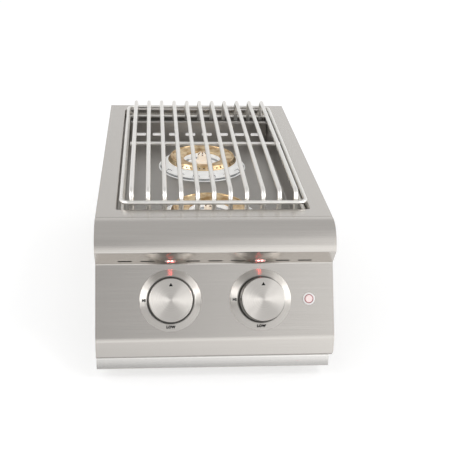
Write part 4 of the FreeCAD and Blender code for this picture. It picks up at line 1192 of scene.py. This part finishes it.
class BURNER_OT_knobs(bpy.types.Operator):
    """Turn the bezels, skirts and caps, and letter the dials"""

    bl_idname = "burner.knobs"
    bl_label = "Knobs"

    def execute(self, context):
        s = in_mm(context.scene.burner_look.knobs)
        for name, x in (("left", -KNOB_X), ("right", KNOB_X)):
            spot = on_panel(x)
            knob, bezel, skirt, cap = (f"knob_{part}{name}" for part in ("", "bezel_", "skirt_", "cap_"))
            made = turned_map(self.bezel(s))
            finish(made, "knob_bezel_dished_" + name, "housing", [bezel], "spun", spot, 30)
            finish(self.skirt(s), "knob_skirt_turned_" + name, knob, [skirt], "skirt_dark_reflection", spot)
            made = turned_map(self.cap(s))
            finish(made, "knob_cap_spun_" + name, knob, [cap], "spun", spot)
            for word, turn in (("LOW", -90), ("HI", 180)):
                mark = place(self.mark(s, word, turn), METRES @ spot)
                hang(mark, f"dial_{word.lower()}_{name}", "housing", "print")
        return {"FINISHED"}

    def bezel(self, s):
        """The bezel: a thin dished ring that slopes up from its rim to a crown at the skirt."""
        inner = s.skirt + s.gap
        crown = inner + s.bezel_crown
        inside = s.bezel - 1.5
        top, under = s.bezel_height, s.bezel_height - 1.5
        bore, sheet = 8, 1.2
        return lathe(rounded([
            (bore, 0, 0), (s.bezel, 0, 0.3), (s.bezel, s.bezel_rim, 0.8), (crown, top, 0.8),
            (inner, top, 0.5), (inner, under, 0.3), (crown - 0.7, under, 0), (inside, 1.75, 0),
            (inside, sheet, 0), (bore, sheet, 0),
        ], 4), 160)

    def skirt(self, s):
        """The skirt: a tapering shell with a fine groove under its top edge."""
        wall, roof = 2.5, 2.8
        top = s.skirt_height
        groove = s.skirt_top - 0.45
        return lathe(rounded([
            (0, top - roof, 0), (s.skirt_top - wall, top - roof, 0), (s.skirt - wall, s.skirt_foot, 0),
            (s.skirt, s.skirt_foot, 0.5), (s.skirt_top + 0.15, top - 3.2, 0.2), (groove, top - 2.6, 0.1),
            (groove, top - 2.0, 0.1), (s.skirt_top, top - 1.5, 0.2), (s.skirt_top, top, 0.3), (0, top, 0),
        ], 3), 128)

    def cap(self, s):
        """The cap: a thin disc with a chamfer, with a recess for its pointer."""
        foot, top = s.skirt_height, s.skirt_height + s.cap_sheet
        rings = 8
        face = [(s.cap * k / rings, top) for k in range(rings - 1, -1, -1)]
        obj = lathe([(0, foot), (s.cap, foot), (s.cap, top - 0.7), (s.cap - 0.6, top)] + face, 160)
        pointer_radius, pointer_height, pointer_half_width, depth = 21, 4.6, 2.8, 0.8
        cutter = begin(bpy.ops.mesh.primitive_cylinder_add, vertices=3, radius=1, depth=depth)
        mesh = bmesh.from_edit_mesh(cutter.data)
        for vert in mesh.verts:
            peak = vert.co.y > 0.5
            vert.co.x = 0 if peak else math.copysign(pointer_half_width, vert.co.x)
            vert.co.y = pointer_radius - pointer_height / 2 + (pointer_height if peak else 0)
        bmesh.update_edit_mesh(cutter.data)
        close_up()
        return cut(obj, [place(cutter, Matrix.Translation((0, 0, top)))])

    def mark(self, s, word, turn):
        """A word wrapped onto the bezel's cone, upright on the dial."""
        deselect()
        bpy.ops.object.text_add()
        text = bpy.context.object
        settings = {"body": word, "size": s.letter, "align_x": "CENTER", "align_y": "CENTER"}
        settings.update(space_character=1.15, offset=0.4, extrude=0.12)
        for key, value in settings.items():
            setattr(text.data, key, value)
        bpy.ops.object.convert(target="MESH")
        radius, sunk = 36.9, 0.06
        inner, outer = s.skirt + s.gap + s.bezel_crown, s.bezel
        slope = (s.bezel_height - s.bezel_rim) / (outer - inner)
        middle = Vector((radius * math.cos(math.radians(turn)), radius * math.sin(math.radians(turn))))
        for vert in text.data.vertices:
            flat = middle + Vector((vert.co.x, vert.co.y))
            vert.co = (flat.x, flat.y, s.bezel_rim + (outer - flat.length) * slope + vert.co.z + sunk)
        return text


class BURNER_OT_lights(bpy.types.Operator):
    """Make the lamps' lenses and the light button"""

    bl_idname = "burner.lights"
    bl_label = "Lamps and button"

    def execute(self, context):
        look = context.scene.burner_look
        self.lamps(in_mm(look.sheets))
        self.button(in_mm(look.knobs))
        return {"FINISHED"}

    def lamps(self, s):
        """Each lamp: a white frame in the panel's slot, a smoked window in it, and two chips on that."""
        play, rim, chip_offset = 0.1, 2.2, 2.4
        length_mm, width = s.lamp_length, s.lamp_width
        frames, windows, chips = [], [], []
        for x in (-KNOB_X, KNOB_X):
            seat = Matrix.Translation((x, 0, 0)) @ under_nose(s)
            frame_bar = self.bar(length_mm - play, width - play, -4.0, 0.4, 1.9)
            cut(frame_bar, [self.bar(length_mm - rim, width - rim + 0.2, -0.5, 2.0, 1.0)])
            frames.append(place(soften(frame_bar, 0.15, 2), seat))
            window = self.bar(length_mm - rim - play, width - rim + play, -1.2, -0.3, 0.9)
            windows.append(place(window, seat))
            for offset in (-chip_offset, chip_offset):
                chip = self.bar(1.9, 1.7, -0.6, 0.2, 0.6)
                chips.append(place(chip, seat @ Matrix.Translation((offset, 0, 0))))
        for objs, part, finish_name in (
            (frames, "frames", "white"), (windows, "windows", "window"), (chips, "chips", "led")
        ):
            finish(merge(objs), "lamp_lens_" + part, "housing", ["lamp_lenses"], finish_name)

    def bar(self, length_mm, width, low, high, corner):
        """A round-cornered bar along X, from one height to another."""
        middle = Matrix.Translation((0, 0, (low + high) / 2))
        flat = Matrix.Scale((high - low) / CUTTER_HEIGHT, 4, (0, 0, 1))
        return place(slot_cutter(length_mm, width, corner), middle @ flat)

    def button(self, s):
        """The button: a flanged housing, a light ring let into it, and a cap that travels in its bore."""
        spot = on_panel(middle_mm("button_cap").x)
        rim, lit, bore, shank = s.button_flange, s.light_ring, s.button + 0.1, 7
        ring_foot, ring_top, rim_top = 1.2, 2.1, 1.9
        floor, foot = -13, -16
        cap_foot, cap_rim, cap_dish, cap_middle = -7, 3.0, 3.4, 2.6
        housing = lathe(rounded([
            (bore, ring_foot, 0), (bore, floor, 0), (0, floor, 0), (0, foot, 0), (shank, foot, 0.5),
            (shank, 0, 0), (rim, 0, 0.2), (rim, rim_top, 0.7), (lit, rim_top + 0.3, 0.2), (lit, ring_foot, 0),
        ], 4), 96)
        light = lathe(rounded([
            (bore, ring_foot, 0), (lit, ring_foot, 0), (lit, ring_top, 0.25), (bore, ring_top, 0.25),
        ], 3), 96)
        cap = lathe(rounded([
            (0, cap_foot, 0), (s.button, cap_foot, 0.4), (s.button, cap_rim, 0.9), (cap_dish, 2.85, 0.3),
            (0, cap_middle, 0),
        ], 4), 96)
        for obj, name, body, node, slot, finish_name in (
            (housing, "button_housing_turned", "housing", "button_housing", "white_plastic", "white"),
            (light, "button_light_ring_lit", "housing", "button_light_ring", "red_plastic", "red_ring"),
            (cap, "button_cap_domed", "button", "button_cap", "pink_plastic", "pink"),
        ):
            finish(obj, name, body, [node], finish_name, spot)


class BURNER_OT_fittings(bpy.types.Operator):
    """Turn the gas inlet and the screws of the box"""

    bl_idname = "burner.fittings"
    bl_label = "Inlet and screws"

    def execute(self, context):
        self.inlet()
        self.screws()
        return {"FINISHED"}

    def inlet(self):
        """The inlet: a collar, a hexagon nut and a thread whose ridges are turned one by one."""
        low, high = box_mm("inlet_fitting")
        middle = (low + high) / 2
        bore, collar, radius, tip = 5, 9.5, 7.94, 1.5
        pitch, thread_depth = 1.6, 0.8
        nut_height, across_flats, thread_length = 6, 24, 16
        end = high.y - low.y - nut_height
        height = end - thread_length
        profile = [(bore, 0), (collar, 0), (collar, height - 0.4), (collar - 0.4, height), (radius, height)]
        while height + pitch < end - tip:
            ridge = height + pitch / 2 + 0.1
            profile += [(radius, height + 0.3), (radius - thread_depth, ridge), (radius, height + pitch)]
            height += pitch
        profile += [(radius, end - tip), (radius - tip, end), (bore, end)]
        thread = lathe(profile, 64)
        nut = begin(
            bpy.ops.mesh.primitive_cylinder_add,
            vertices=6,
            radius=across_flats / math.sqrt(3),
            depth=nut_height,
            end_fill_type="NGON",
        )
        close_up()
        cut(nut, [round_cutter(bore, CUTTER_HEIGHT, 48)])
        soften(nut, 0.6, 2, 40)
        place(nut, Matrix.Translation((0, 0, -nut_height / 2)))
        turn = Matrix.Rotation(math.radians(-90), 4, "X")
        spot = Matrix.Translation((middle.x, low.y + nut_height, middle.z)) @ turn
        made = merge([thread, nut])
        finish(made, "inlet_fitting_threaded", "housing", ["inlet_fitting"], "brass", spot)

    def screws(self):
        """Pan-head screws with a cross recess, where the construction has its plain ones."""
        tip, shank, head, head_rim, recess_depth = -8, 2, 3.9, 1.2, 1.2
        screw = lathe(rounded([
            (0, tip, 0), (shank - 0.1, tip, 0.4), (shank, 0, 0), (head, 0, 0.2), (head, head_rim, 0.4),
            (2.6, SCREW_HEAD - 0.1, 1.2), (0, SCREW_HEAD, 0),
        ], 3), 32)
        raised = Matrix.Translation((0, 0, SCREW_HEAD + CUTTER_HEIGHT / 2 - recess_depth))
        cut(screw, [place(slot_cutter(4.2, 0.9, 0.2), turn @ raised) for turn in around_z(4)[:2]])
        outward = Vector((0, 0, 1))
        matrices = [
            Matrix.Translation(centre) @ outward.rotation_difference(axis).to_matrix().to_4x4()
            for centre, axis in screw_spots(frame["nodes"]["body_screws"])
        ]
        made = copies(screw, matrices)
        finish(made, "body_screws_crossed", "housing", ["body_screws"], "screw")


def screw_spots(node):
    """Where the heads of a node's screws sit, and which way they point, in mm: one per loose part."""
    mesh = bmesh.new()
    mesh.from_mesh(node.data)
    bmesh.ops.remove_doubles(mesh, verts=mesh.verts, dist=1e-6)
    seen, spots = set(), []
    for start in mesh.verts:
        if start in seen:
            continue
        island, queue = [], [start]
        seen.add(start)
        while queue:
            vert = queue.pop()
            island.append(vert.co * 1000)
            for edge in vert.link_edges:
                other = edge.other_vert(vert)
                if other not in seen:
                    seen.add(other)
                    queue.append(other)
        low = Vector([min(co[i] for co in island) for i in range(3)])
        high = Vector([max(co[i] for co in island) for i in range(3)])
        side = math.copysign(1, (low + high).x)
        middle = (low + high) / 2
        face = high.x - SCREW_HEAD if side > 0 else low.x + SCREW_HEAD
        spots.append((Vector((face, middle.y, middle.z)), Vector((side, 0, 0))))
    mesh.free()
    return spots


class BURNER_OT_stage(bpy.types.Operator):
    """Set the floor, the studio's cards and lights, and the camera"""

    bl_idname = "burner.stage"
    bl_label = "Stage"

    def execute(self, context):
        self.world(context)
        self.floor()
        self.cards()
        self.lights()
        self.camera(context)
        context.scene.view_settings.view_transform = "Standard"
        return {"FINISHED"}

    def seen_rays(self, tree):
        """1 for the rays that see the background itself: camera, glossy and transmission rays."""
        path = add(tree, "ShaderNodeLightPath").outputs
        either = {0: path["Is Camera Ray"], 1: path["Is Glossy Ray"]}
        first = add(tree, "ShaderNodeMath", {"operation": "MAXIMUM"}, either).outputs[0]
        any_of_them = {0: first, 1: path["Is Transmission Ray"]}
        return add(tree, "ShaderNodeMath", {"operation": "MAXIMUM"}, any_of_them).outputs[0]

    def world(self, context):
        world = bpy.data.worlds.new("studio")
        world.use_nodes = True
        context.scene.world = world
        world.node_tree.nodes.clear()
        room = add(world, "ShaderNodeBackground", {"Color": srgb("F4F4F4"), "Strength": 0.95}).outputs[0]
        white = add(world, "ShaderNodeBackground", {"Color": WHITE, "Strength": 1.0}).outputs[0]
        mix = add(world, "ShaderNodeMixShader", None, {0: self.seen_rays(world), 1: room, 2: white})
        add(world, "ShaderNodeOutputWorld", None, {"Surface": mix.outputs[0]})

    def floor(self):
        """A pale floor that keeps the object's shadow, and has a glow of its own where it is seen."""
        deselect()
        bpy.ops.mesh.primitive_plane_add(size=12, location=(0, 0, FLOOR))
        floor = bpy.context.object
        floor.name = "floor"
        mat = bpy.data.materials.new("white studio floor")
        mat.use_nodes = True
        mat.node_tree.nodes.clear()
        matt = add(mat, "ShaderNodeBsdfDiffuse", {"Color": srgb("D0D0D0")}).outputs[0]
        glow = add(mat, "ShaderNodeEmission", {"Color": WHITE, "Strength": 0.48}).outputs[0]
        both = add(mat, "ShaderNodeAddShader", None, {0: matt, 1: glow}).outputs[0]
        mix = add(mat, "ShaderNodeMixShader", None, {0: self.seen_rays(mat), 1: matt, 2: both})
        add(mat, "ShaderNodeOutputMaterial", None, {"Surface": mix.outputs[0]})
        floor.data.materials.append(mat)

    def card(self, name, location, rotation, size, dark, light):
        """A grey card that only reflections see, shaded from dark at its left to light at its right."""
        deselect()
        bpy.ops.mesh.primitive_plane_add(size=1, location=location, rotation=rotation)
        card = bpy.context.object
        card.name = name
        card.scale = (size[0], size[1], 1)
        mat = bpy.data.materials.new(name)
        mat.use_nodes = True
        mat.node_tree.nodes.clear()
        coords = add(mat, "ShaderNodeTexCoord")
        across = add(mat, "ShaderNodeSeparateXYZ", None, {0: coords.outputs["Object"]})
        values = {"From Min": -0.12, "From Max": 0.22, "To Min": dark, "To Max": light}
        values["interpolation_type"] = "SMOOTHSTEP"
        shade = add(mat, "ShaderNodeMapRange", values, {"Value": across.outputs["X"]})
        glow = add(mat, "ShaderNodeEmission", None, {"Strength": shade.outputs[0]})
        add(mat, "ShaderNodeOutputMaterial", None, {"Surface": glow.outputs[0]})
        card.data.materials.append(mat)
        card.visible_camera = False
        card.visible_diffuse = False
        card.visible_shadow = False

    def cards(self):
        """What the steel mirrors: the flange the back card, the panel and the caps the front ones, the trim
        and the lip's underside the cards on the floor. The painted floor shadow card, darker, is a painted
        shadow of the floor just in front of the object."""
        flat, upright, downward = (0, 0, 0), (math.radians(90), 0, 0), (math.radians(180), 0, 0)
        on_floor = FLOOR + 0.002
        for name, location, rotation, size, dark, light in (
            ("front card", (0, -2.6, 1.45), upright, (5, 2.0), 0.5, 1.05),
            ("front strip", (0, -2.6, 0.12), upright, (5, 0.66), 0.95, 1.45),
            ("ceiling card", (0, 0.2, 2.4), downward, (6, 5.6), 0.62, 0.66),
            ("back card", (0, 3.0, 1.4), upright, (8, 2.0), 0.82, 0.95),
            ("floor card", (0, -1.45, on_floor), flat, (4, 1.9), 1.2, 1.3),
            ("apron card", (0, -0.445, on_floor), flat, (2.4, 0.11), 0.85, 1.35),
            # Painted shadow: a darker card where the floor near the object would lie in shade, mirrored under
            # the lip.
            ("painted floor shadow card", (0, -0.371, on_floor), flat, (2.4, 0.036), 0.42, 0.6),
        ):
            self.card(name, location, rotation, size, dark, light)
        for side in (-1, 1):
            turn = (math.radians(90), 0, math.radians(62) * side)
            self.card("side card", (2.3 * side, -1.3, 1.1), turn, (1.1, 1.5), 7.5, 7.5)

    def lights(self):
        """Two soft lamps that look at the middle of the object."""
        target = Vector((0, 0, -0.05))
        for name, location, power, size in (
            ("key", (1.3, -1.5, 1.9), 7, 0.5),
            ("fill", (-1.6, -1.0, 1.7), 4, 0.6),
        ):
            light = bpy.data.lights.new(name, "AREA")
            light.shape = "SQUARE"
            light.size = size
            light.energy = power
            lamp = bpy.data.objects.new(name, light)
            bpy.context.scene.collection.objects.link(lamp)
            lamp.location = location
            lamp.rotation_euler = (target - Vector(location)).to_track_quat("-Z", "Y").to_euler()

    def camera(self, context):
        """The photograph's view, solved from the flange's four corners."""
        place_m = (-0.0848, -1.4106, 0.4978)
        lens_mm, sensor_mm = 71.2, 36
        pitch, yaw, roll = (math.radians(value) for value in (24.01, 4.98, 1.73))
        forward = Vector((math.sin(yaw) * math.cos(pitch), math.cos(yaw) * math.cos(pitch), -math.sin(pitch)))
        level = Vector((math.cos(yaw), -math.sin(yaw), 0))
        upright = level.cross(forward)
        right = math.cos(roll) * level + math.sin(roll) * upright
        up = math.cos(roll) * upright - math.sin(roll) * level
        data = bpy.data.cameras.new("camera")
        data.sensor_width = sensor_mm
        data.lens = lens_mm
        camera = bpy.data.objects.new("camera", data)
        context.scene.collection.objects.link(camera)
        turn = Matrix((right, up, -forward)).transposed().to_4x4()
        camera.matrix_world = Matrix.Translation(place_m) @ turn
        context.scene.camera = camera


OPERATORS = (
    BURNER_OT_finishes,
    BURNER_OT_flange,
    BURNER_OT_panel,
    BURNER_OT_trim,
    BURNER_OT_tray,
    BURNER_OT_grid,
    BURNER_OT_burners,
    BURNER_OT_knobs,
    BURNER_OT_lights,
    BURNER_OT_fittings,
    BURNER_OT_stage,
)


class BURNER_PT_panel(bpy.types.Panel):
    """Lists the steps and the sizes"""

    bl_idname = "BURNER_PT_panel"
    bl_label = "Built-in side burner"
    bl_space_type = "VIEW_3D"
    bl_region_type = "UI"
    bl_category = "Burner"

    def draw(self, context):
        for operator in OPERATORS:
            self.layout.operator(operator.bl_idname)
        look = context.scene.burner_look
        for group in (look.sheets, look.grid, look.burners, look.knobs, look.finishes):
            column = self.layout.column()
            for name in type(group).__annotations__:
                column.prop(group, name)


CLASSES = (SheetSizes, GridSizes, BurnerSizes, KnobSizes, Finishes, BurnerLook, *OPERATORS, BURNER_PT_panel)


def register():
    for cls in CLASSES:
        bpy.utils.register_class(cls)
    bpy.types.Scene.burner_look = bpy.props.PointerProperty(type=BurnerLook)


def unregister():
    del bpy.types.Scene.burner_look
    for cls in reversed(CLASSES):
        bpy.utils.unregister_class(cls)


def main():
    register()
    for operator in OPERATORS:
        group, name = operator.bl_idname.split(".")
        getattr(getattr(bpy.ops, group), name)()


if __name__ == "__main__":
    main()
